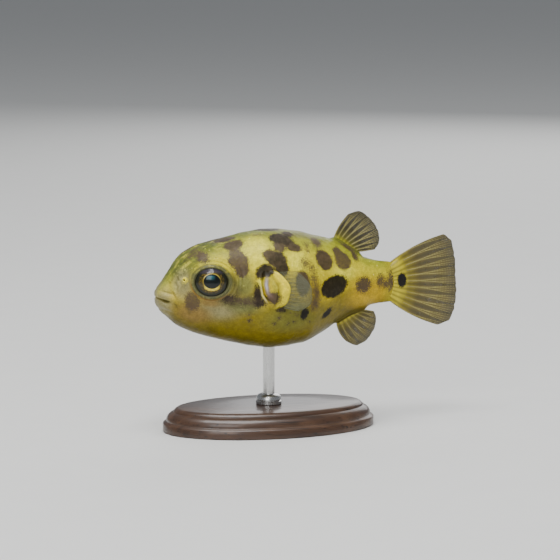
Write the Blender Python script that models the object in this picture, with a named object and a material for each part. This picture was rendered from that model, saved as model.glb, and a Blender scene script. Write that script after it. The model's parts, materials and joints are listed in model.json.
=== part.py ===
"""A dwarf freshwater pufferfish, life size, held level on a plain display stand.

The fish swims towards -X with its left side towards -Y, and +Z is up. The origin is the middle of
the stand base's underside. The body is one smooth loft that thin cuts part into jaws, head, trunk
and tail stalk, and each fin is a ribbed fan of rays.

Fish sizes are percentages of the body length: "at" runs back from the tip of the snout, "up" rises
from the body's axis and "side" is positive on the fish's right.
"""

import math
from collections import namedtuple

import bmesh
import bpy
import numpy as np
from mathutils import Vector

# Driving dimensions, in metres.
BODY_LENGTH = 0.0235
AXIS_HEIGHT = 0.0130
FIT_GAP = 0.0002
FIN_THICKNESS = 0.0005
RIB_RISE = 0.00012
RIB_SHARE = 0.22
BASE_LENGTH, BASE_WIDTH = 0.0200, 0.0120
# The moulding round the base, from its foot to its top: level, and inset from the widest outline.
BASE_MOULDING = (
    (0.0, 0.0),
    (0.00085, 0.0),  # foot band
    (0.00100, 0.00030),  # step
    (0.00130, 0.00036),
    (0.00165, 0.00062),  # hollow
    (0.00184, 0.00100),
    (0.00200, 0.00110),  # bead
    (0.00220, 0.00142),
)
ROD_RADIUS = 0.00055
ROD_IN_BASE = 0.0012
ROD_IN_BODY = 0.0018
# The collar's profile: share of its height, and radius.
COLLAR_HEIGHT = 0.0008
COLLAR_PROFILE = ((0.0, 0.00120), (0.50, 0.00120), (0.85, 0.00098), (1.0, 0.00075))

PERCENT = BODY_LENGTH / 100
GAP = FIT_GAP / PERCENT
BALANCE = 46.0
LEFT, RIGHT = -1, 1

RING_POINTS = 36
BODY_RINGS = 42
RING_CROWDING = 1.2
FIN_STEPS = 6
EYE_SIDES, EYE_BANDS = 20, 10
NOSTRIL_SIDES, ROD_SIDES, COLLAR_SIDES, BASE_SIDES = 12, 20, 20, 44
SHARP_ANGLE = math.radians(35)

# One line per landmark: distance from the snout, back, belly, half width, level of the widest
# point, and how square the roof and the floor of the section are (2 is an ellipse).
Section = namedtuple("Section", "at top bottom half widest roof floor")
SECTIONS = (
    Section(0.3, -0.8, -2.4, 0.9, -1.5, 2.0, 2.0),  # tip of the lips
    Section(0.8, 1.4, -4.8, 3.4, -1.8, 2.1, 2.0),  # lips
    Section(2.0, 2.9, -7.1, 5.2, -2.1, 2.1, 2.0),  # chin
    Section(5.0, 6.7, -9.8, 7.2, -2.2, 2.2, 2.1),  # corner of the mouth
    Section(8.5, 11.3, -12.9, 9.4, -2.2, 2.5, 2.2),  # nostrils
    Section(12.0, 14.8, -14.8, 11.4, -2.0, 2.8, 2.2),  # front of the eyes
    Section(18.7, 18.0, -17.3, 14.4, -1.5, 2.6, 2.2),  # eyes
    Section(28.0, 20.6, -19.9, 17.4, -2.5, 2.3, 2.1),  # nape
    Section(38.0, 22.7, -22.2, 19.5, -3.8, 2.1, 2.1),  # gill opening
    Section(45.5, 23.2, -23.2, 20.3, -4.4, 2.0, 2.1),  # crown of the back
    Section(58.0, 21.9, -22.1, 18.4, -4.0, 2.0, 2.0),  # end of the paunch
    Section(64.5, 20.1, -19.6, 15.4, -2.6, 2.0, 2.0),  # vent
    Section(72.7, 18.0, -15.0, 11.2, -0.6, 2.0, 2.0),  # front of the dorsal fin
    Section(82.3, 11.9, -10.3, 6.9, 0.4, 2.0, 2.0),  # rear of the dorsal fin
    Section(91.0, 9.0, -8.0, 4.8, 0.4, 2.0, 2.0),  # tail stalk
    Section(96.5, 8.2, -7.6, 3.2, 0.3, 2.2, 2.2),  # root of the tail
    Section(98.8, 6.6, -6.2, 2.2, 0.2, 2.3, 2.3),  # rounded end of the stalk
    Section(99.8, 4.2, -3.8, 1.3, 0.2, 2.4, 2.4),  # end of the backbone
)

# The mouth is a narrow wedge between two planes, each given by its level at the lips and its
# fall per unit of length towards the corner.
UPPER_GUM = (-1.2, -0.22)
LOWER_GUM = (-2.7, -0.10)

# Cuts across the body: distance from the snout at the axis, and lean towards the tail, in degrees.
JAW_CUT = (5.2, -14)
GILL_CUT = (38.6, -6)
STALK_CUT = (68.5, 12)

# The eyeball's middle, its size, and how far it looks forwards and up, in degrees.
EYE_AT, EYE_UP, EYE_SIDE = 19.0, 5.2, 13.0
EYE_RADIUS, EYE_DEPTH = 6.7, 3.9
EYE_FORWARD, EYE_UPWARD = 18, 5
BROW_AT, BROW_UP = 16.5, 8.0
BROW_SWELL, BROW_REACH = 2.3, 9.0

NOSTRIL_AT, NOSTRIL_UP = 9.3, 5.6
NOSTRIL_FOOT, NOSTRIL_LIP, NOSTRIL_HOLE = 1.3, 1.05, 0.6
NOSTRIL_HEIGHT, NOSTRIL_CLEARANCE = 1.8, 0.4
NOSTRIL_AIM = Vector((-0.40, 0.80, 0.45)).normalized()

# A fin's rays run from its fore root to its rear root. Each ray leaves its root at one angle above
# the horizontal and bends evenly to another, both given for the first and the last ray. The
# lengths are pairs: a share of the way through the rays, and the ray's length there.
Fin = namedtuple("Fin", "rays fore rear start_angles end_angles lengths")
DORSAL = Fin(
    rays=9,
    fore=72.8,
    rear=82.2,
    start_angles=(70, 2),
    end_angles=(44, 8),
    lengths=((0, 10.8), (0.2, 14.6), (0.4, 14.7), (0.6, 13.6), (0.8, 11.2), (1, 7.4)),
)
ANAL = Fin(
    rays=8,
    fore=74.0,
    rear=84.5,
    start_angles=(-84, -7),
    end_angles=(-40, -13),
    lengths=((0, 8.8), (0.15, 13.0), (0.3, 13.5), (0.5, 12.0), (0.75, 8.8), (1, 5.0)),
)
TAIL = Fin(
    rays=11,
    fore=9.2,
    rear=-8.6,
    start_angles=(34, -36),
    end_angles=(14, -17),
    lengths=((0, 22.0), (0.1, 23.8), (0.25, 23.4), (0.5, 23.0), (0.75, 23.6), (0.9, 23.8), (1, 20.5)),
)
PECTORAL = Fin(
    rays=11,
    fore=7.6,
    rear=-3.6,
    start_angles=(14, -14),
    end_angles=(6, -9),
    lengths=((0, 11.0), (0.2, 14.0), (0.45, 16.0), (0.7, 16.0), (0.9, 13.8), (1, 11.4)),
)
TAIL_ROOT, TAIL_ROOT_SWELL = 97.0, 3.0
PECTORAL_ROOT, PECTORAL_FLARE, PECTORAL_CUP = 40.0, 24, 2.2
PECTORAL_BASE_THICKNESS, PECTORAL_BASE_REACH = 0.0011, 0.5
FIN_SWAY = 1.2


def smooth_value(knots, values, at):
    """A curve through the knots that rises and falls only where they do (monotone cubic)."""
    knots, values = np.asarray(knots, float), np.asarray(values, float)
    steps, rises = np.diff(knots), np.diff(values)
    slopes = rises / steps
    tangents = np.concatenate([slopes[:1], np.zeros(len(slopes) - 1), slopes[-1:]])
    same_way = slopes[:-1] * slopes[1:] > 0
    total = slopes[:-1] + slopes[1:]
    tangents[1:-1][same_way] = 2 * (slopes[:-1] * slopes[1:])[same_way] / total[same_way]
    at = np.clip(np.asarray(at, float), knots[0], knots[-1])
    span = np.clip(np.searchsorted(knots, at, side="right") - 1, 0, len(steps) - 1)
    t = (at - knots[span]) / steps[span]
    rise = values[span] + rises[span] * t * t * (3 - 2 * t)
    lean_in = t * (1 - t) ** 2 * tangents[span]
    lean_out = t * t * (t - 1) * tangents[span + 1]
    return rise + steps[span] * (lean_in + lean_out)


def section_value(field, at):
    """One column of SECTIONS, smoothed along the body."""
    return smooth_value([s.at for s in SECTIONS], [getattr(s, field) for s in SECTIONS], at)


def brow_swell(at, up):
    """How far the skin stands out round the eye."""
    reach = np.hypot(at - BROW_AT, up - BROW_UP) / BROW_REACH
    return BROW_SWELL * np.exp(-(reach**2))


def body_point(at, turn):
    """A point of the body at a distance from the snout. Turn is 0 on the right, a quarter on top."""
    c, s = math.cos(math.tau * turn), math.sin(math.tau * turn)
    top, bottom, widest = (section_value(f, at) for f in ("top", "bottom", "widest"))
    power = 2 / section_value("roof" if s > 0 else "floor", at)
    reach = top - widest if s > 0 else widest - bottom
    up = widest + reach * math.copysign(abs(s) ** power, s)
    side = section_value("half", at) * math.copysign(abs(c) ** power, c)
    side += math.copysign(brow_swell(at, up), side) * abs(c) ** 0.5
    return float(at), float(side), float(up)


def place(at, side, up):
    """Fish percentages to metres in the part's frame."""
    return Vector(((at - BALANCE) * PERCENT, side * PERCENT, AXIS_HEIGHT + up * PERCENT))


def clear_scene():
    for old in list(bpy.data.objects):
        bpy.data.objects.remove(old)


def material(name, colour, roughness, metallic=0.0):
    made = bpy.data.materials.new(name)
    made.use_nodes = True
    shader = made.node_tree.nodes["Principled BSDF"]
    shader.inputs["Base Color"].default_value = (*colour, 1)
    shader.inputs["Roughness"].default_value = roughness
    shader.inputs["Metallic"].default_value = metallic
    return made


def face_outwards(mesh):
    bmesh.ops.recalc_face_normals(mesh, faces=mesh.faces)
    if mesh.calc_volume(signed=True) < 0:
        bmesh.ops.reverse_faces(mesh, faces=mesh.faces)


def add_object(name, mesh, finish):
    """Makes a named node of a bmesh whose points are already in place."""
    face_outwards(mesh)
    data = bpy.data.meshes.new(name)
    mesh.to_mesh(data)
    mesh.free()
    if finish:
        data.materials.append(finish)
    data.shade_smooth()
    data.set_sharp_from_angle(angle=SHARP_ANGLE)
    made = bpy.data.objects.new(name, data)
    bpy.context.scene.collection.objects.link(made)
    return made


def bridge(mesh, near, far):
    """Joins two rings of as many points with quads."""
    for i in range(len(near)):
        j = (i + 1) % len(near)
        mesh.faces.new((near[i], near[j], far[j], far[i]))


def whole_body():
    """The uncut loft, with a point at each end."""
    mesh = bmesh.new()
    first, last = SECTIONS[0], SECTIONS[-1]
    shares = np.linspace(0, 1, BODY_RINGS) ** RING_CROWDING
    rings = []
    for at in first.at + (last.at - first.at) * shares:
        turns = [i / RING_POINTS for i in range(RING_POINTS)]
        rings.append([mesh.verts.new(place(*body_point(at, turn))) for turn in turns])
    for near, far in zip(rings, rings[1:]):
        bridge(mesh, near, far)
    mesh.faces.new(rings[0])
    mesh.faces.new(rings[-1])
    return mesh


def keep_side(mesh, point, normal):
    """Cuts a closed mesh with a plane, keeps what lies along the normal, and closes the cut."""
    everything = mesh.verts[:] + mesh.edges[:] + mesh.faces[:]
    cut = bmesh.ops.bisect_plane(mesh, geom=everything, plane_co=point, plane_no=normal, clear_inner=True)
    rim = [g for g in cut["geom_cut"] if isinstance(g, bmesh.types.BMEdge)]
    bmesh.ops.contextual_create(mesh, geom=rim)


def cross_cut(mesh, cut, towards_tail):
    """Cuts across the body, half a gap to the side that is kept."""
    at, lean = cut
    angle = math.radians(lean)
    normal = Vector((math.cos(angle), 0, math.sin(angle))) * (1 if towards_tail else -1)
    keep_side(mesh, place(at, 0, 0) + normal * FIT_GAP / 2, normal)


def gum_cut(mesh, gum, keep_above):
    """Cuts along the mouth."""
    level, fall = gum
    normal = Vector((-fall, 0, 1)).normalized() * (1 if keep_above else -1)
    keep_side(mesh, place(0, 0, level), normal)


def cutter(name, mesh):
    """A closed helper for a Boolean, left out of the model."""
    made = add_object(name, mesh, None)
    made.hide_render = True
    made.display_type = "WIRE"
    return made


def subtract(target, tool):
    cut = target.modifiers.new("cut " + tool.name, "BOOLEAN")
    cut.operation = "DIFFERENCE"
    cut.solver = "EXACT"
    cut.object = tool


def eyeball(hand, extra=0.0):
    """A ball flattened along its line of sight. Extra grows it all round, for the socket."""
    forward, upward = math.radians(EYE_FORWARD), math.radians(EYE_UPWARD)
    sight = Vector((-math.sin(forward), hand * math.cos(forward), math.tan(upward))).normalized()
    across = Vector((0, 0, 1)).cross(sight).normalized()
    upright = sight.cross(across)
    middle = Vector((EYE_AT, hand * EYE_SIDE, EYE_UP))
    mesh = bmesh.new()
    bmesh.ops.create_uvsphere(mesh, u_segments=EYE_SIDES, v_segments=EYE_BANDS, radius=1)
    for v in mesh.verts:
        spread = (across * v.co.x + upright * v.co.y) * (EYE_RADIUS + extra)
        v.co = place(*(middle + spread + sight * v.co.z * (EYE_DEPTH + extra)))
    return mesh


def tube(points, radii, sides):
    """A closed round bar through points on one straight line, with a radius at each."""
    mesh = bmesh.new()
    aim = (points[-1] - points[0]).normalized()
    across = aim.orthogonal().normalized()
    upright = aim.cross(across)
    rings = []
    for point, radius in zip(points, radii):
        ring = []
        for i in range(sides):
            angle = math.tau * i / sides
            offset = across * math.cos(angle) + upright * math.sin(angle)
            ring.append(mesh.verts.new(point + offset * radius))
        rings.append(ring)
    for near, far in zip(rings, rings[1:]):
        bridge(mesh, near, far)
    mesh.faces.new(rings[0])
    mesh.faces.new(rings[-1])
    return mesh


def flank_side(at, up):
    """The body's half width at a level, brow included."""
    top, bottom, widest = (section_value(f, at) for f in ("top", "bottom", "widest"))
    above = up > widest
    share = (up - widest) / ((top if above else bottom) - widest)
    power = section_value("roof" if above else "floor", at)
    half = section_value("half", at) * max(0.0, 1 - share**power) ** (1 / power)
    return float(half + brow_swell(at, up))


def nostril(hand):
    """A short open tube that stands on the snout."""
    aim = Vector((NOSTRIL_AIM.x, hand * NOSTRIL_AIM.y, NOSTRIL_AIM.z))
    root = place(NOSTRIL_AT, hand * flank_side(NOSTRIL_AT, NOSTRIL_UP), NOSTRIL_UP)
    root += aim * (FIT_GAP + NOSTRIL_CLEARANCE * PERCENT)
    floor = NOSTRIL_HEIGHT / 3
    heights = (0, NOSTRIL_HEIGHT, NOSTRIL_HEIGHT, floor)
    radii = (NOSTRIL_FOOT, NOSTRIL_LIP, NOSTRIL_HOLE, NOSTRIL_HOLE)
    points = [root + aim * height * PERCENT for height in heights]
    return tube(points, [radius * PERCENT for radius in radii], NOSTRIL_SIDES)


def ray_point(fin, share, reach, root):
    """A point of a fin in its own plane, at a share of the rays and of that ray's length."""
    start = math.radians(fin.start_angles[0] + share * (fin.start_angles[1] - fin.start_angles[0]))
    end = math.radians(fin.end_angles[0] + share * (fin.end_angles[1] - fin.end_angles[0]))
    knots, lengths = zip(*fin.lengths)
    run = reach * float(smooth_value(knots, lengths, share))
    bend = reach * (end - start)
    chord = run * (math.sin(bend / 2) / (bend / 2) if abs(bend) > 1e-6 else 1)
    angle = start + bend / 2
    return root[0] + chord * math.cos(angle), root[1] + chord * math.sin(angle)


def even_thickness(reach):
    return FIN_THICKNESS


def fleshy_thickness(reach):
    """Thick at the root of the rays, and as thin as any fin beyond the fleshy base."""
    share = min(1.0, reach / PECTORAL_BASE_REACH)
    return PECTORAL_BASE_THICKNESS + (FIN_THICKNESS - PECTORAL_BASE_THICKNESS) * share**2


def fan(fin, root_of, lay_out, thickness_at=even_thickness):
    """A closed ribbed plate. root_of gives a ray's foot and lay_out puts the fin's plane in place."""
    mesh = bmesh.new()
    last = fin.rays - 1
    ribs = [(ray + aside, aside == 0) for ray in range(fin.rays) for aside in (-RIB_SHARE, 0, RIB_SHARE)]
    lines = [(where / last, on_crest) for where, on_crest in ribs if 0 <= where <= last]
    columns = len(lines)
    sheets = []
    for face in (LEFT, RIGHT):
        sheet = []
        for share, on_crest in lines:
            line = []
            for step in range(FIN_STEPS + 1):
                reach = step / FIN_STEPS
                rib = RIB_RISE if on_crest else 0
                flat = ray_point(fin, share, reach, root_of(share))
                offset = face * (thickness_at(reach) / 2 + rib) / PERCENT
                line.append(mesh.verts.new(place(*lay_out(flat, share, reach, offset))))
            sheet.append(line)
        sheets.append(sheet)
    left, right = sheets
    for sheet in sheets:
        for near, far in zip(sheet, sheet[1:]):
            for i in range(FIN_STEPS):
                mesh.faces.new((near[i], near[i + 1], far[i + 1], far[i]))
    rim = [(c, 0) for c in range(columns)]
    rim += [(columns - 1, s) for s in range(1, FIN_STEPS + 1)]
    rim += [(c, FIN_STEPS) for c in range(columns - 2, -1, -1)]
    rim += [(0, s) for s in range(FIN_STEPS - 1, 0, -1)]
    for (c, s), (d, t) in zip(rim, rim[1:] + rim[:1]):
        mesh.faces.new((left[c][s], left[d][t], right[d][t], right[c][s]))
    return mesh


def upright(flat, share, reach, offset):
    """Lays a fin in the middle plane, with a gentle wave that grows towards its edge."""
    sway = FIN_SWAY * reach**2 * math.sin(math.tau * share)
    return flat[0], offset + sway, flat[1]


def back_root(fin):
    """The feet of a dorsal fin's rays, a gap above the back."""
    def root(share):
        at = fin.fore + share * (fin.rear - fin.fore)
        return at, float(section_value("top", at)) + GAP
    return root


def belly_root(fin):
    """The feet of an anal fin's rays, a gap under the belly."""
    def root(share):
        at = fin.fore + share * (fin.rear - fin.fore)
        return at, float(section_value("bottom", at)) - GAP
    return root


def tail_root(share):
    """The feet of the tail fin's rays, on a shallow arc behind the backbone."""
    up = TAIL.fore + share * (TAIL.rear - TAIL.fore)
    return TAIL_ROOT + GAP + TAIL_ROOT_SWELL * math.sin(math.pi * share) ** 0.7, up


def pectoral_root(share):
    return 0.0, PECTORAL.fore + share * (PECTORAL.rear - PECTORAL.fore)


def pectoral_layout(hand):
    """Turns the fin's plane out from the flank by the flare, and cups it a little."""
    flare = math.radians(PECTORAL_FLARE)
    stand_off = GAP + PECTORAL_BASE_THICKNESS / 2 / PERCENT

    def lay_out(flat, share, reach, offset):
        run, up = flat
        level = PECTORAL.fore + share * (PECTORAL.rear - PECTORAL.fore)
        foot = flank_side(PECTORAL_ROOT, level) + stand_off
        out = run * math.sin(flare) + offset * math.cos(flare)
        out -= PECTORAL_CUP * reach * (2 * share - 1) ** 2
        return PECTORAL_ROOT + run * math.cos(flare) - offset * math.sin(flare), hand * (foot + out), up

    return lay_out


def add_body(skin):
    """Jaws, head, trunk and tail stalk, parted from one loft."""
    cuts = {
        "upper_jaw": (None, JAW_CUT, UPPER_GUM),
        "lower_jaw": (None, JAW_CUT, LOWER_GUM),
        "head": (JAW_CUT, GILL_CUT, None),
        "trunk": (GILL_CUT, STALK_CUT, None),
        "tail_stalk": (STALK_CUT, None, None),
    }
    made = {}
    for name, (front, rear, gum) in cuts.items():
        mesh = whole_body()
        if front:
            cross_cut(mesh, front, towards_tail=True)
        if rear:
            cross_cut(mesh, rear, towards_tail=False)
        if gum:
            gum_cut(mesh, gum, keep_above=gum is UPPER_GUM)
        made[name] = add_object(name, mesh, skin)
    return made


def add_eyes(head, finish):
    for side, hand in (("left", LEFT), ("right", RIGHT)):
        add_object("eye_" + side, eyeball(hand), finish)
        subtract(head, cutter("socket_" + side, eyeball(hand, GAP)))


def add_nostrils(skin):
    for side, hand in (("left", LEFT), ("right", RIGHT)):
        add_object("nostril_" + side, nostril(hand), skin)


def add_fins(finish):
    add_object("dorsal_fin", fan(DORSAL, back_root(DORSAL), upright), finish)
    add_object("anal_fin", fan(ANAL, belly_root(ANAL), upright), finish)
    add_object("tail_fin", fan(TAIL, tail_root, upright), finish)
    for side, hand in (("left", LEFT), ("right", RIGHT)):
        pectoral = fan(PECTORAL, pectoral_root, pectoral_layout(hand), fleshy_thickness)
        add_object("pectoral_fin_" + side, pectoral, finish)


def base_plate():
    """An oval plate with a moulded edge."""
    mesh = bmesh.new()
    rings = []
    for level, inset in BASE_MOULDING:
        ring = []
        for i in range(BASE_SIDES):
            angle = math.tau * i / BASE_SIDES
            x = (BASE_LENGTH / 2 - inset) * math.cos(angle)
            y = (BASE_WIDTH / 2 - inset) * math.sin(angle)
            ring.append(mesh.verts.new((x, y, level)))
        rings.append(ring)
    for near, far in zip(rings, rings[1:]):
        bridge(mesh, near, far)
    mesh.faces.new(rings[0])
    mesh.faces.new(rings[-1])
    return mesh


def bar(low, high, radius, sides=ROD_SIDES):
    """An upright round bar on the stand's axis."""
    return tube([Vector((0, 0, low)), Vector((0, 0, high))], [radius, radius], sides)


def add_stand(trunk, wood, steel):
    """An oval base, a rod that enters a hole in the belly, and a collar at the rod's foot."""
    base_top = BASE_MOULDING[-1][0]
    belly = AXIS_HEIGHT + float(section_value("bottom", BALANCE)) * PERCENT
    rod_foot, rod_head = base_top - ROD_IN_BASE, belly + ROD_IN_BODY
    bore = ROD_RADIUS + FIT_GAP
    base = add_object("stand_base", base_plate(), wood)
    add_object("stand_rod", bar(rod_foot, rod_head, ROD_RADIUS), steel)
    foot = base_top + FIT_GAP
    heights = [Vector((0, 0, foot + share * COLLAR_HEIGHT)) for share, _ in COLLAR_PROFILE]
    ring = tube(heights, [radius for _, radius in COLLAR_PROFILE], COLLAR_SIDES)
    collar = add_object("stand_collar", ring, steel)
    subtract(base, cutter("rod_hole_in_base", bar(rod_foot - FIT_GAP, foot, bore)))
    subtract(collar, cutter("rod_hole_in_collar", bar(base_top, base_top + 2 * COLLAR_HEIGHT, bore)))
    subtract(trunk, cutter("rod_hole_in_belly", bar(belly - ROD_IN_BODY, rod_head + FIT_GAP, bore)))


def main():
    clear_scene()
    skin = material("spotted_skin", (0.52, 0.45, 0.10), 0.4)
    membrane = material("fin_membrane", (0.42, 0.38, 0.16), 0.45)
    eye = material("dark_eye", (0.03, 0.04, 0.04), 0.1)
    wood = material("dark_wood", (0.05, 0.03, 0.02), 0.45)
    steel = material("brushed_steel", (0.6, 0.6, 0.6), 0.3, metallic=1.0)
    body = add_body(skin)
    add_eyes(body["head"], eye)
    add_nostrils(skin)
    add_fins(membrane)
    add_stand(body["trunk"], wood, steel)


main()
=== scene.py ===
# %% [markdown]
# # A dwarf freshwater pufferfish on a display stand
# This lesson dresses a finished frame of plain solids: one seamless spotted skin, two glossy eyes,
# five thin fins with branching rays, and a small wooden stand with a steel rod.
# The frame comes first. It is never moved or changed, and every piece below is worked out in the
# same metres, so nothing has to be fitted by eye.

# %% Load the frame
import json
import math
from collections import namedtuple

import bpy
import numpy as np
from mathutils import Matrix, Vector

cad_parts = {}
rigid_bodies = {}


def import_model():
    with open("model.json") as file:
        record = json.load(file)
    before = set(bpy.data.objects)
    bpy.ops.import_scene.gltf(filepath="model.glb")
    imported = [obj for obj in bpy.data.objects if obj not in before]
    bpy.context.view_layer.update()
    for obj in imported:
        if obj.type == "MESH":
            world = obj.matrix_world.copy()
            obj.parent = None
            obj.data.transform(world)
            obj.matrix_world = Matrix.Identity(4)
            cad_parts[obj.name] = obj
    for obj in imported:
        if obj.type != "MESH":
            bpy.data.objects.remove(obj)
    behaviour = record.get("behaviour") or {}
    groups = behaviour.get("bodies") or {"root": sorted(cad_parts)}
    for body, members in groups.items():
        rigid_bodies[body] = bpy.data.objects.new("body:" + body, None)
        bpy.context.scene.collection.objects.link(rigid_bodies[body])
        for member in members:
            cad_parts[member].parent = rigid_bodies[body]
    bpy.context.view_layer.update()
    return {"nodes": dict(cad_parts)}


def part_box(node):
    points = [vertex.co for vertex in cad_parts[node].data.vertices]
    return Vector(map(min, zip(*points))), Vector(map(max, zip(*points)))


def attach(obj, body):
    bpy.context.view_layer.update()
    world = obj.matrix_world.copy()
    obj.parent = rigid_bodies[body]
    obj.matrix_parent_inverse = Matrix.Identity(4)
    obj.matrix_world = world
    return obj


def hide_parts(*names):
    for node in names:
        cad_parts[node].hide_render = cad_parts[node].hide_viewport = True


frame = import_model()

print("nodes in the frame:", len(frame["nodes"]))

# %% [markdown]
# ## Measures
# A fish is easiest to describe in percentages of its own length: "at" runs back from the tip of
# the snout, "side" grows towards the fish's right, and "up" rises from the body's axis. The fish
# swims towards -X, so its left side faces -Y. The three numbers that turn percentages into metres
# are the frame's own, and the first print compares them with the frame's nodes.

# %% Driving sizes
BODY_LENGTH = 0.0235
AXIS_HEIGHT = 0.0130
BALANCE = 46.0
PERCENT = BODY_LENGTH / 100
GAP = 0.0002 / PERCENT
LEFT, RIGHT = -1, 1
SIDES = {"left": LEFT, "right": RIGHT}


def place(points):
    """Fish percentages (at, side, up) to metres in the frame, for any array of points."""
    points = np.asarray(points, float)
    metres = points * PERCENT
    metres[..., 0] -= BALANCE * PERCENT
    metres[..., 2] += AXIS_HEIGHT
    return metres


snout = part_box("upper_jaw")[0].x
print(f"snout at {snout * 1000:.2f} mm, expected {place((0.3, 0, 0))[0] * 1000:.2f} mm")

# %% [markdown]
# ## Camera, floor and light
# The fish is seen from its left, 17 degrees round towards the head and 8 degrees from above. A
# long lens keeps the small body free of distortion. The floor is a plain pale card, and three
# large soft lamps stand round it: one overhead, one at the front and one behind.

# %% Camera
VIEW_AZIMUTH, VIEW_ELEVATION = math.radians(-17), math.radians(8)
VIEW_DISTANCE, FRAME_WIDTH, SENSOR, NEAREST = 0.25, 0.0514, 36.0, 0.01
AIM_RIGHT, AIM_UP = 0.00103, 0.00070


def put(name, data):
    """A new object in the scene."""
    made = bpy.data.objects.new(name, data)
    bpy.context.scene.collection.objects.link(made)
    return made


back = Vector((
    math.sin(VIEW_AZIMUTH) * math.cos(VIEW_ELEVATION),
    -math.cos(VIEW_AZIMUTH) * math.cos(VIEW_ELEVATION),
    math.sin(VIEW_ELEVATION),
))
right = Vector((math.cos(VIEW_AZIMUTH), math.sin(VIEW_AZIMUTH), 0))
aim = Vector((0, 0, AXIS_HEIGHT)) + right * AIM_RIGHT + back.cross(right) * AIM_UP
camera = put("camera", bpy.data.cameras.new("camera"))
camera.data.sensor_width = SENSOR
camera.data.lens = SENSOR * VIEW_DISTANCE / FRAME_WIDTH
camera.data.clip_start = NEAREST
camera.location = aim + back * VIEW_DISTANCE
camera.rotation_euler = back.to_track_quat("Z", "Y").to_euler()
bpy.context.scene.camera = camera
print(f"lens {camera.data.lens:.0f} mm at {VIEW_DISTANCE * 1000:.0f} mm")

# %% Light
LAMPS = (
    # name, place, width, power
    ("overhead", (-0.05, -0.06, 0.30), 0.20, 1.25),
    ("front", (-0.16, -0.26, 0.16), 0.16, 0.36),
    ("behind", (0.16, 0.24, 0.16), 0.22, 0.35),
)
ROOM_COLOUR, ROOM_STRENGTH = (0.90, 0.94, 1.0, 1.0), 0.26
for name, spot, width, power in LAMPS:
    lamp = bpy.data.lights.new("lamp_" + name, "AREA")
    lamp.size, lamp.energy = width, power
    holder = put("lamp_" + name, lamp)
    holder.location = spot
    holder.rotation_euler = (Vector(spot) - aim).to_track_quat("Z", "Y").to_euler()

world = bpy.data.worlds.new("soft room")
world.use_nodes = True
room = world.node_tree.nodes["Background"].inputs
room["Color"].default_value, room["Strength"].default_value = ROOM_COLOUR, ROOM_STRENGTH
bpy.context.scene.world = world
print("lamps:", len(LAMPS))

# %% [markdown]
# ## Small tools for node trees
# Materials and Geometry Nodes are both trees. One helper adds a node, sets its options, and links
# or types in what goes into it. A Value wraps a socket so that it can be added and multiplied like
# a number, and a Recipe holds one material in the making, so each finish below reads as a recipe.


# %% Tree helpers
def feed(target, value):
    """Links a socket into an input, or types a plain value there."""
    value = getattr(value, "socket", value)
    if isinstance(value, bpy.types.NodeSocket):
        target.id_data.links.new(value, target)
    else:
        target.default_value = value


def add_node(tree, kind, inputs=None, **options):
    """A new node. Inputs are sockets to link or plain values, by the input's name or number."""
    node = tree.nodes.new(kind)
    for option, value in options.items():
        setattr(node, option, value)
    for key, value in (inputs or {}).items():
        feed(node.inputs[key], value)
    return node


class Value:
    """A socket that can be reckoned with like a plain number."""

    def __init__(self, socket):
        self.socket, self.tree = socket, socket.id_data

    def __add__(self, other):
        return maths("ADD", self, other)

    def __sub__(self, other):
        return maths("SUBTRACT", self, other)

    def __rsub__(self, other):
        return maths("SUBTRACT", other, self)

    def __mul__(self, other):
        return maths("MULTIPLY", self, other)

    def __truediv__(self, other):
        return maths("DIVIDE", self, other)

    def __rtruediv__(self, other):
        return maths("DIVIDE", other, self)

    def rise(self, low, high):
        """0 below low, 1 above high and a soft rise between. It falls where low is the larger."""
        inputs = {"Value": self, "From Min": low, "From Max": high}
        node = add_node(self.tree, "ShaderNodeMapRange", inputs, interpolation_type="SMOOTHSTEP")
        return Value(node.outputs[0])


def maths(operation, *values):
    """One Math node's result. At least one of the values is a Value."""
    tree = next(value.tree for value in values if isinstance(value, Value))
    return Value(add_node(tree, "ShaderNodeMath", dict(enumerate(values)), operation=operation).outputs[0])


def rgba(colour):
    """A plain triple with its alpha, or a Value as it is."""
    return colour if isinstance(colour, Value) else (*colour, 1.0)


def mix(share, under, over):
    """Over laid on under, by share. Colours are values or plain triples."""
    inputs = {0: share, 6: rgba(under), 7: rgba(over)}
    return Value(add_node(share.tree, "ShaderNodeMix", inputs, data_type="RGBA").outputs[2])


def brighten(colour, value):
    """A colour times a brightness, its hue and saturation kept."""
    shaded = add_node(value.tree, "ShaderNodeHueSaturation", {"Value": value, "Color": colour})
    return Value(shaded.outputs["Color"])


def object_coordinates(tree):
    """The place of each point in the object's own metres."""
    return add_node(tree, "ShaderNodeTexCoord").outputs["Object"]


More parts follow.
